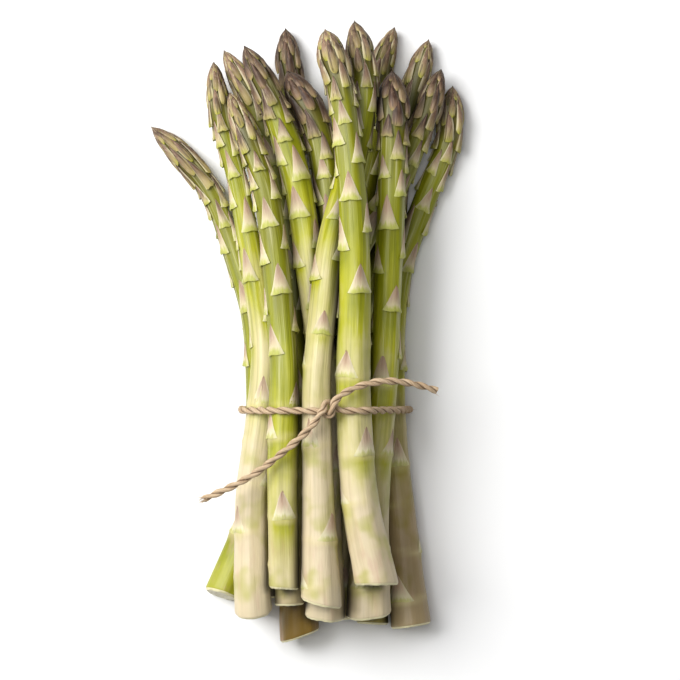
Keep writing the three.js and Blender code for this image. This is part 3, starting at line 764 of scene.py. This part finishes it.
def wrapPoints():
    # evenly spaced points round all the spears at the tie: down the right side, under, up the left side
    turns = np.arange(twine["circleSides"]) / twine["circleSides"] * 2 * np.pi
    circles = []
    for index, name in enumerate(spearNames):
        (x, _, z), along, _, _ = framesAt(index, bundle["tieY"])
        radius = outerRadius(spears[name], np.float64(bundle["tieY"])) + twine["width"] / 2 + twine["clear"]
        circles.append(np.stack([x + radius * np.cos(turns) / along[1], z + radius * np.sin(turns)], -1))
    outline = hullOf(np.concatenate(circles))[::-1]
    loop = np.concatenate([outline, outline[:1]])
    run = np.concatenate([[0], np.cumsum(np.linalg.norm(np.diff(loop, axis=0), axis=1))])
    count = round(run[-1] / twine["wrapStep"])
    at = np.arange(count) / count * run[-1]
    ring = np.stack([np.interp(at, run, loop[:, 0]), np.interp(at, run, loop[:, 1])], -1)
    topZ = ring[:, 1].max()
    onTop = (ring[:, 1] > topZ - twine["knotDepth"]) & (np.abs(ring[:, 0] - twine["knotX"]) < twine["knotReach"])
    first = int(np.argmax(~onTop & np.roll(onTop, 1)))
    ring, onTop = np.roll(ring, -first, axis=0), np.roll(onTop, -first)
    ring = ring[~onTop]
    return topZ, np.stack([ring[:, 0], np.full(len(ring), bundle["tieY"]), ring[:, 1]], -1)


def smoothPath(points, step):
    # a centripetal Catmull-Rom curve through the points, sampled evenly
    ends = [2 * points[:1] - points[1:2], points, 2 * points[-1:] - points[-2:-1]]
    p = np.concatenate(ends)
    p0, p1, p2, p3 = p[:-3], p[1:-2], p[2:-1], p[3:]
    gap = lambda a, b: np.sqrt(np.linalg.norm(b - a, axis=1, keepdims=True))
    d0, d1, d2 = gap(p0, p1), gap(p1, p2), gap(p2, p3)
    start = ((p1 - p0) / d0 - (p2 - p0) / (d0 + d1) + (p2 - p1) / d1) * d1
    end = ((p2 - p1) / d1 - (p3 - p1) / (d1 + d2) + (p3 - p2) / d2) * d1
    t = (np.arange(twine["curveSteps"]) / twine["curveSteps"])[None, :, None]
    p1, p2, start, end = (v[:, None, :] for v in (p1, p2, start, end))
    curve = p1 + start * t + (3 * (p2 - p1) - 2 * start - end) * t**2 + (2 * (p1 - p2) + start + end) * t**3
    curve = np.concatenate([curve.reshape(-1, 3), points[-1:]])
    run = np.concatenate([[0], np.cumsum(np.linalg.norm(np.diff(curve, axis=0), axis=1))])
    at = np.linspace(0, run[-1], int(run[-1] / step) + 1)
    return np.stack([np.interp(at, run, curve[:, k]) for k in range(3)], -1), at


def pathFrames(path):
    # direction and two axes across a path, carried along it without twist
    along = np.gradient(path, axis=0)
    along /= np.linalg.norm(along, axis=1, keepdims=True)
    side = np.empty_like(path)
    side[0] = np.cross(along[0], (0.0, 0.0, 1.0))
    for k in range(1, len(path)):
        side[k] = side[k - 1] - along[k] * np.dot(side[k - 1], along[k])
        side[k] /= np.linalg.norm(side[k])
    side[0] /= np.linalg.norm(side[0])
    return along, side, np.cross(along, side)


def twineRoute():
    # frayed end, knot, once round the bundle, knot again, cut end
    topZ, wrap = wrapPoints()
    lifted = lambda points, x, y: np.array(points, float) + (x, y, topZ)
    knot = (twine["knotX"], bundle["tieY"])
    points = np.concatenate([
        lifted(twine["frayedEnd"], 0, 0), lifted(twine["knotOver"], *knot), wrap,
        lifted(twine["knotUnder"], *knot), lifted(twine["cutEnd"], 0, 0)])
    return smoothPath(points, twine["ringStep"])


def makeTwine(material):
    # plies laid round each other: the section is the outline of their circles,
    # offset * cos(near) + sqrt(size^2 - (offset * sin(near))^2), turned along the path
    path, run = twineRoute()
    along, side, up = pathFrames(path)
    count, sides = len(path), twine["sides"]
    turns = np.arange(sides) / sides * 2 * np.pi
    sector = 2 * np.pi / twine["plies"]
    near = (turns + sector / 2) % sector - sector / 2  # angle from the nearest ply's middle
    radius = 0.5 * twine["width"]
    offset, size = twine["plyOffset"] * radius, twine["plySize"] * radius
    section = offset * np.cos(near) + np.sqrt(np.maximum(size**2 - (offset * np.sin(near)) ** 2, 0))
    rng = np.random.default_rng(twine["seed"])
    knots = np.linspace(0, run[-1], twine["wobbles"])
    outline = section[None, :] * np.interp(run, knots, rng.uniform(*twine["wobble"], len(knots)))[:, None]
    angle = turns[None, :] + (run / twine["pitch"] * 2 * np.pi)[:, None]
    across = side[:, None] * np.cos(angle)[..., None] + up[:, None] * np.sin(angle)[..., None]
    rings = path[:, None] + across * outline[..., None]
    rise = twine["capRise"] * along
    points = np.concatenate([rings.reshape(-1, 3), path[:1] - rise[:1], path[-1:] + rise[-1:]])
    ring = np.arange(sides)
    faces = [gridFaces(count, sides)[:, ::-1], fanFaces(count * sides, ring[::-1]),
             fanFaces(count * sides + 1, ring + (count - 1) * sides)]
    foot = twine["grooveFoot"] * radius
    groove = ((outline - foot) / (radius - foot)).clip(0, 1)
    lay = rowsOf(angle, run[:, None], groove)
    skin = rowsOf(outline * np.cos(turns), outline * np.sin(turns), run[:, None])  # turns with the plies
    ends = np.zeros((2, 3))
    attributes = {"lay": np.concatenate([lay, ends]), "skin": np.concatenate([skin, ends])}
    piece = makePiece("twine_strand", points, faces, [material], attributes)
    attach(piece, "root")
    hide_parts("twine")
    return piece, path, run, (along, side, up)


fuzz = {
    # how many fibres, their width in mm, and their length in mm and lean in radians, from and to
    "strand": {"count": 700, "width": 0.06, "length": (0.9, 2.6), "lean": (0.25, 0.9)},
    "frayed": {"count": 40, "width": 0.13, "length": (0.8, 3.2), "lean": (0.02, 0.3)},
    "frayedRings": 4,  # rings of the strand's end that the frayed fibres leave from
    "seed": 5,
    "rings": 4,
    "sides": 3,
    "start": 1.1,  # from the strand's middle
    "startShare": (0.5, 1.0),
    "swerve": 0.8,
    "curl": 0.5,
    "taper": 0.85,
    "lowest": 0.1,  # height over the surface
    "groove": 0.8,  # where their colour lies between groove and ply
}


def makeFuzz(material, path, frames):
    # loose fibres: thin hairs that leave the strand at a low angle and curl, root + length * (forward * t *
    # cos(lean) + out * t * sin(lean) + swerve * t^2 * curl)
    rng = np.random.default_rng(fuzz["seed"])
    kinds = []
    for kind, first, last in (("strand", 2, len(path) - 2), ("frayed", 0, fuzz["frayedRings"])):
        given = fuzz[kind]
        count = given["count"]
        kinds.append((rng.integers(first, last, count), rng.uniform(*given["length"], count),
                      rng.uniform(*given["lean"], count), np.full(count, given["width"])))
    at, length, lean, width = (np.concatenate(values) for values in zip(*kinds))
    total = len(at)
    along, side, up = (axis[at] for axis in frames)
    direction = np.where(rng.random(total) < 0.5, 1.0, -1.0)
    direction[fuzz["strand"]["count"]:] = -1.0  # the frayed ones leave the end
    turn = rng.uniform(0, 2 * np.pi, total)
    out = side * np.cos(turn)[:, None] + up * np.sin(turn)[:, None]
    aside = np.cross(along, out)
    swerve = aside * rng.uniform(-fuzz["swerve"], fuzz["swerve"], total)[:, None]
    root = path[at] + out * fuzz["start"] * rng.uniform(*fuzz["startShare"], total)[:, None]
    t = np.linspace(0, 1, fuzz["rings"])[None, :, None]
    forward = (along * direction[:, None])[:, None]
    line = root[:, None] + length[:, None, None] * (forward * t * np.cos(lean)[:, None, None]
                                                    + out[:, None] * t * np.sin(lean)[:, None, None]
                                                    + swerve[:, None] * t**2 * fuzz["curl"])
    sides = fuzz["sides"]
    corner = np.arange(sides) / sides * 2 * np.pi
    taper = (1 - fuzz["taper"] * t) * width[:, None, None]
    ring = out[:, None, None] * np.cos(corner)[:, None] + aside[:, None, None] * np.sin(corner)[:, None]
    points = line[:, :, None] + ring * taper[..., None]
    points[..., 2] = np.maximum(points[..., 2], fuzz["lowest"])
    each = fuzz["rings"] * sides
    starts = np.arange(total) * each
    ends = np.array([np.arange(sides), each - 1 - np.arange(sides)])
    faces = [repeated(gridFaces(fuzz["rings"], sides), starts), repeated(ends, starts)]
    flat = points.reshape(-1, 3)
    attributes = {"lay": np.tile((0.0, 0.0, fuzz["groove"]), (len(flat), 1)), "skin": flat}
    piece = makePiece("twine_fuzz", flat, faces, [material], attributes)
    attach(piece, "root")
    return piece


jute = twineSkin()
strand, twinePath, twineRun, twineFrames = makeTwine(jute)
twineFuzz = makeFuzz(jute, twinePath, twineFrames)
print("twine made, length in mm:", round(float(twineRun[-1]), 1))


scales = {
    "turn": np.radians(137.5),  # between one scale and the next
    "firstBack": 0.8,  # millimetres behind the tip
    # the step to the next scale, by the distance behind the tip
    "steps": ((0, 0.6), (8, 0.9), (16, 1.2), (26, 1.6), (36, 2.5), (50, 4.2), (70, 6.2), (100, 9.5), (150, 17)),
    "lastUp": 5.0,  # no scale starts nearer to the cut end than this
    "turnJitter": 0.14,
    "sizeJitter": 0.1,
    "sizeLimits": (0.8, 1.2),
    "leanJitter": 0.08,
    # length in mm and half the width in radians, by the distance behind the tip
    "length": ((0, 3.4), (4, 6.5), (8, 9), (14, 11), (20, 9.5), (27, 8.5), (36, 9.5), (50, 11), (70, 11), (120, 10)),
    "half": ((0, 0.8), (8, 0.52), (14, 0.46), (22, 0.46), (30, 0.52), (40, 0.62), (50, 0.78), (70, 0.86),
             (120, 0.88)),
    "pastTip": 0.6,  # how far an apex may reach past the tip
    "headPart": (24, 15),  # a scale starts to stand as in the head here behind the tip, and does so fully here
    "lancePart": (28, 16),  # the same for its outline
    "lance": (0.8, 0.95),  # width at the base of an outline in the head, and what it gains upward
    "taper": 0.85,  # power by which an outline narrows to its apex
    "waist": 0.1,  # how far the sides of an outline on the stem are drawn in
    "sway": (1.2, 1.5),  # how far lean bends the middle line and moves the apex
    # how far the base droops: on the stem in the middle, at its sides and by lean, and in the head
    "droop": (0.3, 0.35, 3.0, 1.5),
    "lip": 1.1,  # how far a scale's base stands off the stem
    "lipAtTie": 0.25,  # share left under the twine
    "tieReach": (3, 9),  # this near to it, and whole again this far from it
    "lipTone": (0.7, 0.6),  # share for the flattest scale, and what its tone adds
    "lipLow": 0.45,  # share lost low on the stem
    "lowPart": (90, 140),  # from here behind the tip to here
    "halfBySize": (0.7, 0.3),  # part of the half angle that stays, and part that goes with the scale's size
    "purpleByTone": 0.5,  # how much darker or lighter a scale's head colour is by its tone
    "leastInside": 0.1,  # smallest radius of the place inside
    "crown": (0.4, 0.35, 0.15, 2.2),  # how far the sides lie lower at the base and past it, and the power across
    "seat": (0.35, 0.65),  # depth in the head's swelling at the apex, and what the base adds
    "plump": (0.95, 0.25, 0.7, 3.5),  # swelling of a bract, its depth at the sides, power, and radius for all of it
    "curl": 1.4,  # how far the apex of some bracts curls out
    "thick": (0.3, 0.7, 0.05),  # underside below the body, inside below the skin, and the least radius
    "apex": (1.05, 0.35, 0.1),  # height of the apex in the head and on the stem, as shares, and over them in mm
    "pole": (0.4, 0.5),  # of the base: how far ahead of it and how deep
    "skinStep": 37.0,  # moves the grain from scale to scale
    # rows from the underside of the base to near the apex, and how far each stands off, as a share of the lip
    "rows": np.array([0.04, 0.0, 0.05, 0.15, 0.32, 0.52, 0.72, 0.9]),
    "stand": np.array([0.0, 0.8, 1.0, 0.78, 0.48, 0.34, 0.25, 0.17]),
    "headStand": np.array([0.0, 0.35, 0.6, 0.85, 1.05, 1.12, 1.08, 1.0]),
    "across": np.array([-1.0, -0.86, -0.5, 0.0, 0.5, 0.86, 1.0, 0.0]),
}


def scalePlaces(index, rng):
    # closer and closer toward the tip, each turned by the golden angle
    spear = spears[spearNames[index]]
    buttY, tipY = endsOf(spear)
    places = [scales["firstBack"]]
    while tipY - places[-1] > buttY:
        places.append(places[-1] + float(np.interp(places[-1], *np.transpose(scales["steps"]))))
    back = np.array(places)
    count = len(back)
    turn = spear["turn"] + np.arange(count) * scales["turn"] + rng.normal(0, scales["turnJitter"], count)
    size = rng.normal(1, scales["sizeJitter"], count).clip(*scales["sizeLimits"])
    lean = rng.normal(0, scales["leanJitter"], count)
    tone = rng.random(count)
    keep = tipY - back > buttY + scales["lastUp"]
    return tuple(v[keep] for v in (back, turn, size, lean, tone))


stem = {
    "seed": 100,  # of the first spear, and one more for each next one
    "columns": 40,
    "rowStep": 1.6,
    "tipRows": (0.3, 0.9, 1.8, 3.0, 4.4),  # distances behind the tip
    "firstRow": 6.0,  # from here on they are rowStep apart
    "bevel": ((1.2, 0.0), (0.7, 0.08), (0.0, 0.7)),  # height over the cut end, and how much narrower
    "cutRings": (0.86, 0.62, 0.38, 0.16),  # of the cut face, as shares of its radius
    "cutReach": 8.0,  # the tilt of the cut face fades over this length
    "cutGrain": 0.05,  # unevenness of the cut face
    "poles": (0.05, 0.1),  # inside the tip and the cut end
    "ribs": ((5, 0.028), (8, 0.015), (13, 0.007)),  # count round the stem and height as a share of its radius
    "ribDrift": (0.25, 12),  # size of a random turn, and how many along the stem
    "ribStrength": (0.2, 1.5, 16),  # from and to, and how many along the stem
    "ribPhase": 6.28,  # largest turn of a rib's wave
    "bumps": 0.012,  # height of the soft bumps, as a share of the radius
    "bumpKnots": (12, 4),  # along the stem, and waves round it
    "bumpTurn": 1.7,  # from one wave to the next
    "reachY": 115.0,  # the ribs and bumps run from -reachY to reachY
    "under": (7.0, 0.9),  # skin changes this far under a scale, and this far round it
    "ringHeight": 0.4,  # of the swelling under a low scale
    "ringUp": 0.8,  # its place below the scale's foot
    "ringTilt": 1.2,  # how far it drops on the other side
    "ringWidth": 1.3,
    "ringPart": (95, 125),  # starts this far behind the tip, and is whole here
    "ringSides": (0.55, 0.45),  # share of its height all round, and what the scale's side adds
}


def drawSurface(rng):
    # the random numbers behind a stem's ribs and soft bumps
    drift, drifts = stem["ribDrift"]
    low, high, strengths = stem["ribStrength"]
    ribs = [(np.cumsum(rng.normal(0, drift, drifts)), rng.uniform(low, high, strengths),
             rng.uniform(0, stem["ribPhase"])) for _ in stem["ribs"]]
    return ribs, rng.normal(0, 1, stem["bumpKnots"])


def unevenness(spear, surface, y, angle):
    # a factor on the radius: ribs that drift round the stem, cos(count * angle + drift), and soft bumps
    ribs, bumps = surface
    fade = 1 - headShare(spear, y)
    factor = np.ones(np.broadcast(y, angle).shape)
    alongStem = lambda values: np.interp(y, np.linspace(-stem["reachY"], stem["reachY"], len(values)), values)
    for (count, height), (drifts, strengths, phase) in zip(stem["ribs"], ribs):
        wave = np.cos(count * angle + alongStem(drifts) + phase)
        factor = factor * (1 + height * alongStem(strengths) * fade * wave)
    last = len(bumps) - 1
    row = np.clip((y + stem["reachY"]) / (2 * stem["reachY"]) * last, 0, last - 0.001)
    low, part = row.astype(int), smoothStep(row % 1)
    share = [bumps[low, k] * (1 - part) + bumps[low + 1, k] * part for k in range(bumps.shape[1])]
    waves = sum(share[k] * np.cos((k + 1) * angle + stem["bumpTurn"] * k) for k in range(1, len(share))) + share[0]
    return factor * (1 + stem["bumps"] * fade * waves)


def scaleOutline(tipY, places, a, b, head):
    # angle and y of each place, for a from base to apex and b across: the width narrows by (1 - a)^taper,
    # fuller in the head, and the base droops by (1 - a)^2
    back, turn, size, lean, _ = places
    length = np.minimum(np.interp(back, *np.transpose(scales["length"])) * size, back + scales["pastTip"])
    fixed, bySize = scales["halfBySize"]
    half = np.interp(back, *np.transpose(scales["half"])) * (fixed + bySize * size)
    narrow = (1 - a) ** scales["taper"]
    atBase, gain = scales["lance"]
    lance = (atBase + gain * a) * narrow
    wedge = narrow * (1 - scales["waist"] * np.sin(np.pi * a))
    lanceShare = step(back, *scales["lancePart"])
    bend, swing = scales["sway"]
    skew = b + bend * lean * (1 - b**2)
    angle = turn + half * skew * (lanceShare * lance + (1 - lanceShare) * wedge) + swing * lean * a
    middle, sides, byLean, inHead = scales["droop"]
    onStem = middle + sides * np.sin(np.pi * np.abs(b)) + byLean * lean * b
    droop = ((1 - head) * onStem + head * inHead * (1 - b**2)) * (1 - a) ** 2
    return angle, tipY - back + a * length - droop, length


def scaleRadius(spear, surface, places, a, b, head, angle, y):
    # on the stem the uneven stem's radius and a lip that sinks to the apex, in the head a plump bract,
    # (1 - b^2) * sin(pi * (0.25 + 0.75 a))^power, that curls out at its apex
    back, _, _, _, tone = places
    tipY = endsOf(spear)[1]
    stand, headStand = scales["stand"][None, :, None], scales["headStand"][None, :, None]
    outer, core = outerRadius(spear, y), coreRadius(spear, y)
    left, clear = scales["lipAtTie"], step(np.abs(tipY - back - bundle["tieY"]), *scales["tieReach"])
    flattest, byTone = scales["lipTone"]
    lip = scales["lip"] * (left + (1 - left) * clear) * (flattest + byTone * tone)
    lip = lip * (1 - scales["lipLow"] * step(back, *scales["lowPart"]))
    atBase, past, pastOver, power = scales["crown"]
    crown = 1 - (atBase + past * np.minimum(a / pastOver, 1)) * np.abs(b) ** power
    atApex, toBase = scales["seat"]
    stemRadius = core * unevenness(spear, surface, y, angle) + (outer - core) * (atApex + toBase * (1 - a)) \
        + lip * stand * crown
    swelling, sunk, fullness, fullRadius = scales["plump"]
    plump = swelling * (1 - b**2) * np.sin(np.pi * (0.25 + 0.75 * a)) ** fullness - sunk
    curl = scales["curl"] * np.maximum(tone - 0.5, 0) * a**3
    headRadius = core + (outer - core) * headStand + plump * np.minimum(outer / fullRadius, 1) + curl
    below, inside, least = scales["thick"]
    under = np.arange(len(scales["rows"]))[None, :, None] == 0
    inner = np.arange(len(scales["across"])) == len(scales["across"]) - 1
    radius = np.where(under, core - below, head * headRadius + (1 - head) * stemRadius)
    radius = np.where(inner, np.maximum(np.minimum(core, radius) - inside, scales["leastInside"]), radius)
    return np.maximum(radius, least)


def makeScales(index, places, surface):
    # each scale is a closed section (seven points over the top, one inside) carried from its base to its apex
    spear = spears[spearNames[index]]
    buttY, tipY = endsOf(spear)
    back, turn, size, lean, tone = places = tuple(v[:, None, None] for v in places)
    a, b = scales["rows"][None, :, None], scales["across"][None, None, :]
    head = step(back, *scales["headPart"])
    angle, y, length = scaleOutline(tipY, places, a, b, head)
    radius = scaleRadius(spear, surface, places, a, b, head, angle, y)
    body = pointsOn(index, y, angle, radius)
    # the two poles that close it, at the apex and inside the base
    apexY = (tipY - back + length)[:, 0, 0]
    headApex, stemApex, over = scales["apex"]
    apexShare = (head * headApex + (1 - head) * stemApex)[:, 0, 0]
    apexCore = coreRadius(spear, apexY)
    apexRadius = apexCore + (outerRadius(spear, apexY) - apexCore) * apexShare + over
    apex = pointsOn(index, apexY, (turn + lean)[:, 0, 0], apexRadius)
    ahead, deep = scales["pole"]
    baseY = y[:, 0, 3] + ahead
    base = pointsOn(index, baseY, turn[:, 0, 0], np.maximum(coreRadius(spear, baseY) - deep, scales["thick"][2]))
    count, rows, columns = body.shape[:3]
    points = np.concatenate([body.reshape(count, -1, 3), apex[:, None], base[:, None]], axis=1)
    each = rows * columns + 2
    starts = np.arange(count) * each
    ring = np.arange(columns)
    quads = repeated(gridFaces(rows, columns)[:, ::-1], starts)
    tips = repeated(fanFaces(each - 2, ring + (rows - 1) * columns), starts)
    bases = repeated(fanFaces(each - 1, ring[::-1]), starts)

    def onPoints(*parts):
        # values of the section's places, with the last one for the apex and the first one for the base (y only
        # spreads them over all places)
        values = rowsOf(*parts, y)[:, :3].reshape(count, -1, 3)
        return np.concatenate([values, values[:, -1:], values[:, :1]], axis=1).reshape(-1, 3)

    purple = np.clip(spear["purple"] + scales["purpleByTone"] * (tone - 0.5), 0, 1)
    return points.reshape(-1, 3), quads, np.concatenate([tips, bases]), {
        "place": onPoints((y - buttY) / (tipY - buttY), tipY - y, spear["pale"]),
        "leaf": onPoints(a, b, purple),
        "skin": onPoints(radius * np.cos(angle), radius * np.sin(angle), y + scales["skinStep"] * tone),
        # painted shade: the first shade value is the darkening between spears, the second the scale's tone
        "shade": onPoints(paintedShadeShare(index, body), tone, 0.0)}


def fromScales(y, turns, tipY, back, turn):
    # how far each place of the stem is above each scale's base, and the angle between them
    above = y[:, None, None] - (tipY - back)[None, None, :]
    return above, np.angle(np.exp(1j * (turns[None, :, None] - turn[None, None, :])))


def underScales(above, aside):
    # how close each place of the stem lies under a scale's base: exp(-drop / reach), less to the sides
    reach, wide = stem["under"]
    near = np.exp(-np.maximum(-above, 0) / reach) * (above < 0) * np.exp(-((aside / wide) ** 4))
    return near.max(axis=2)


def ringsAt(above, aside, back):
    # a swelling round the stem at the foot of each low scale: exp(-(gap / width)^2), less on its far side
    gap = above + stem["ringUp"] - stem["ringTilt"] * (1 - np.cos(aside))
    allRound, atScale = stem["ringSides"]
    low = step(back, *stem["ringPart"])
    return (low * np.exp(-((gap / stem["ringWidth"]) ** 2)) * (allRound + atScale * np.cos(aside))).max(axis=2)


def makeStem(index, rng, places, surface):
    # rings of the body's radius, ribbed, from a pole at the tip to a rounded edge and a cut face with its own pole
    spear = spears[spearNames[index]]
    buttY, tipY = endsOf(spear)
    bevelUp, bevelIn = np.transpose(stem["bevel"])
    rowStep = stem["rowStep"]
    backs = np.concatenate([stem["tipRows"], np.arange(stem["firstRow"], tipY - buttY - rowStep, rowStep)])
    edge, cutRings = len(backs), len(stem["cutRings"])  # rows above the rounded edge, and in the cut face
    y = np.concatenate([tipY - backs, buttY + bevelUp, np.full(cutRings, buttY)])
    shrink = np.concatenate([np.zeros(edge), bevelIn, np.zeros(cutRings)])
    inward = np.concatenate([np.ones(edge + len(bevelIn)), stem["cutRings"]])[:, None]
    turns = np.arange(stem["columns"]) / stem["columns"] * 2 * np.pi
    above, aside = fromScales(y, turns, tipY, *places[:2])
    rings = ringsAt(above, aside, places[0])
    radius = (coreRadius(spear, y) - shrink)[:, None] * inward * unevenness(spear, surface, y[:, None], turns)
    radius = radius + stem["ringHeight"] * rings * inward
    nearEnd = smoothStep(1 - (y - buttY) / stem["cutReach"])[:, None]
    sideways, upward = spear["cut"]
    ahead = (sideways * np.cos(turns) + upward * np.sin(turns))[None, :] * radius * nearEnd
    face = np.arange(len(y)) >= edge + len(bevelIn) - 1
    ahead = ahead + face[:, None] * rng.normal(0, stem["cutGrain"], radius.shape)
    skinPoints = pointsOn(index, y[:, None], turns[None, :], radius, ahead)
    rows, columns = radius.shape
    inTip, inCut = stem["poles"]
    poles = pointsOn(index, np.array([tipY - inTip, buttY + inCut]), 0.0, 0.0)
    points = np.concatenate([skinPoints.reshape(-1, 3), poles])
    ring = np.arange(columns)
    fans = [fanFaces(rows * columns, ring), fanFaces(rows * columns + 1, ring[::-1] + (rows - 1) * columns)]
    cut = 2  # the cut face's place among the materials
    kinds = np.repeat(np.where(np.arange(rows - 1) >= edge + len(bevelIn) - 2, cut, 0), columns)
    kinds = np.concatenate([kinds, np.zeros(columns, int), np.full(columns, cut)])
    ends = lambda values, tip, butt: np.concatenate([values, [tip, butt]])
    length, pale = tipY - buttY, spear["pale"]
    share, back = ((y - buttY) / length)[:, None], (tipY - y)[:, None]
    place = rowsOf(share, back, np.full(radius.shape, pale))
    leaf = rowsOf(inward, underScales(above, aside), spear["brown"])
    skin = rowsOf(radius * np.cos(turns), radius * np.sin(turns), y[:, None])
    # painted shade: the first shade value is the darkening between spears, the second the rings
    shades = rowsOf(paintedShadeShare(index, skinPoints), rings, 0.0)
    return points, gridFaces(rows, columns), np.concatenate(fans), kinds, {
        "place": ends(place, (1, 0, pale), (0, length, pale)),
        "leaf": ends(leaf, (1, 0, 0), (0, 0, 0)),
        "skin": ends(skin, (0, 0, tipY), (0, 0, buttY)),
        "shade": ends(shades, (0, 0, 0), (0, 0, 0))}


def makeSpear(index, materials):
    # the stem and its scales as one piece that takes the place of its node
    name = spearNames[index]
    rng = np.random.default_rng(stem["seed"] + index)
    places = scalePlaces(index, rng)
    surface = drawSurface(rng)
    stemPoints, stemQuads, stemFans, stemKinds, stemValues = makeStem(index, rng, places, surface)
    scalePoints, scaleQuads, scaleFans, scaleValues = makeScales(index, places, surface)
    offset = len(stemPoints)
    points = np.concatenate([stemPoints, scalePoints])
    points[:, 2] = np.maximum(points[:, 2], 0.0)
    faces = [stemQuads, stemFans, scaleQuads + offset, scaleFans + offset]
    kinds = np.concatenate([stemKinds, np.ones(len(scaleQuads) + len(scaleFans), int)])
    values = {key: np.concatenate([stemValues[key], scaleValues[key]]) for key in stemValues}
    piece = makePiece(name + "_skin", points, faces, materials, values, kinds)
    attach(piece, "root")
    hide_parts(name)
    return piece


spearMaterials = [stemSkin(), scaleSkin(), cutSkin()]
for spearIndex in range(len(spearNames)):
    makeSpear(spearIndex, spearMaterials)
print("spears made")

stageLook = {
    "floorSize": 6.0,
    "floor": (0.9, 0.9, 0.9, 1.0),
    "roughness": 0.9,
    "specular": 0.1,
    "world": (1.0, 1.0, 1.0, 1.0),
    "worldStrength": 0.12,
}

# Each light: place and size in metres, power in watts. They all point at aim.
aim = (0.0, 0.0, 0.02)
lights = {
    "key_light": {"place": (-0.66, 0.36, 0.86), "size": 0.8, "power": 16.0},
    "top_light": {"place": (-0.24, 0.2, 1.4), "size": 1.2, "power": 10.5},
}


def makeStage():
    # a plain floor and an even light all round
    half = stageLook["floorSize"] / 2
    mesh = bpy.data.meshes.new("floor")
    mesh.from_pydata([(-half, -half, 0), (half, -half, 0), (half, half, 0), (-half, half, 0)], [], [(0, 1, 2, 3)])
    material, _, shader = newMaterial("floor_paint", stageLook)
    shader.inputs["Base Color"].default_value = stageLook["floor"]
    mesh.materials.append(material)
    floor = bpy.data.objects.new("floor", mesh)
    bpy.context.scene.collection.objects.link(floor)
    world = bpy.data.worlds.new("studio")
    world.use_nodes = True
    background = world.node_tree.nodes["Background"]
    background.inputs["Color"].default_value = stageLook["world"]
    background.inputs["Strength"].default_value = stageLook["worldStrength"]
    bpy.context.scene.world = world


def makeLights():
    # round soft lamps
    for name, values in lights.items():
        data = bpy.data.lights.new(name, "AREA")
        data.shape = "DISK"
        data.size = values["size"]
        data.energy = values["power"]
        light = bpy.data.objects.new(name, data)
        light.location = values["place"]
        light.rotation_euler = (Vector(aim) - light.location).to_track_quat("-Z", "Y").to_euler()
        bpy.context.scene.collection.objects.link(light)


makeStage()
makeLights()
bpy.context.scene.view_settings.view_transform = "Standard"
print("stage and lights made")
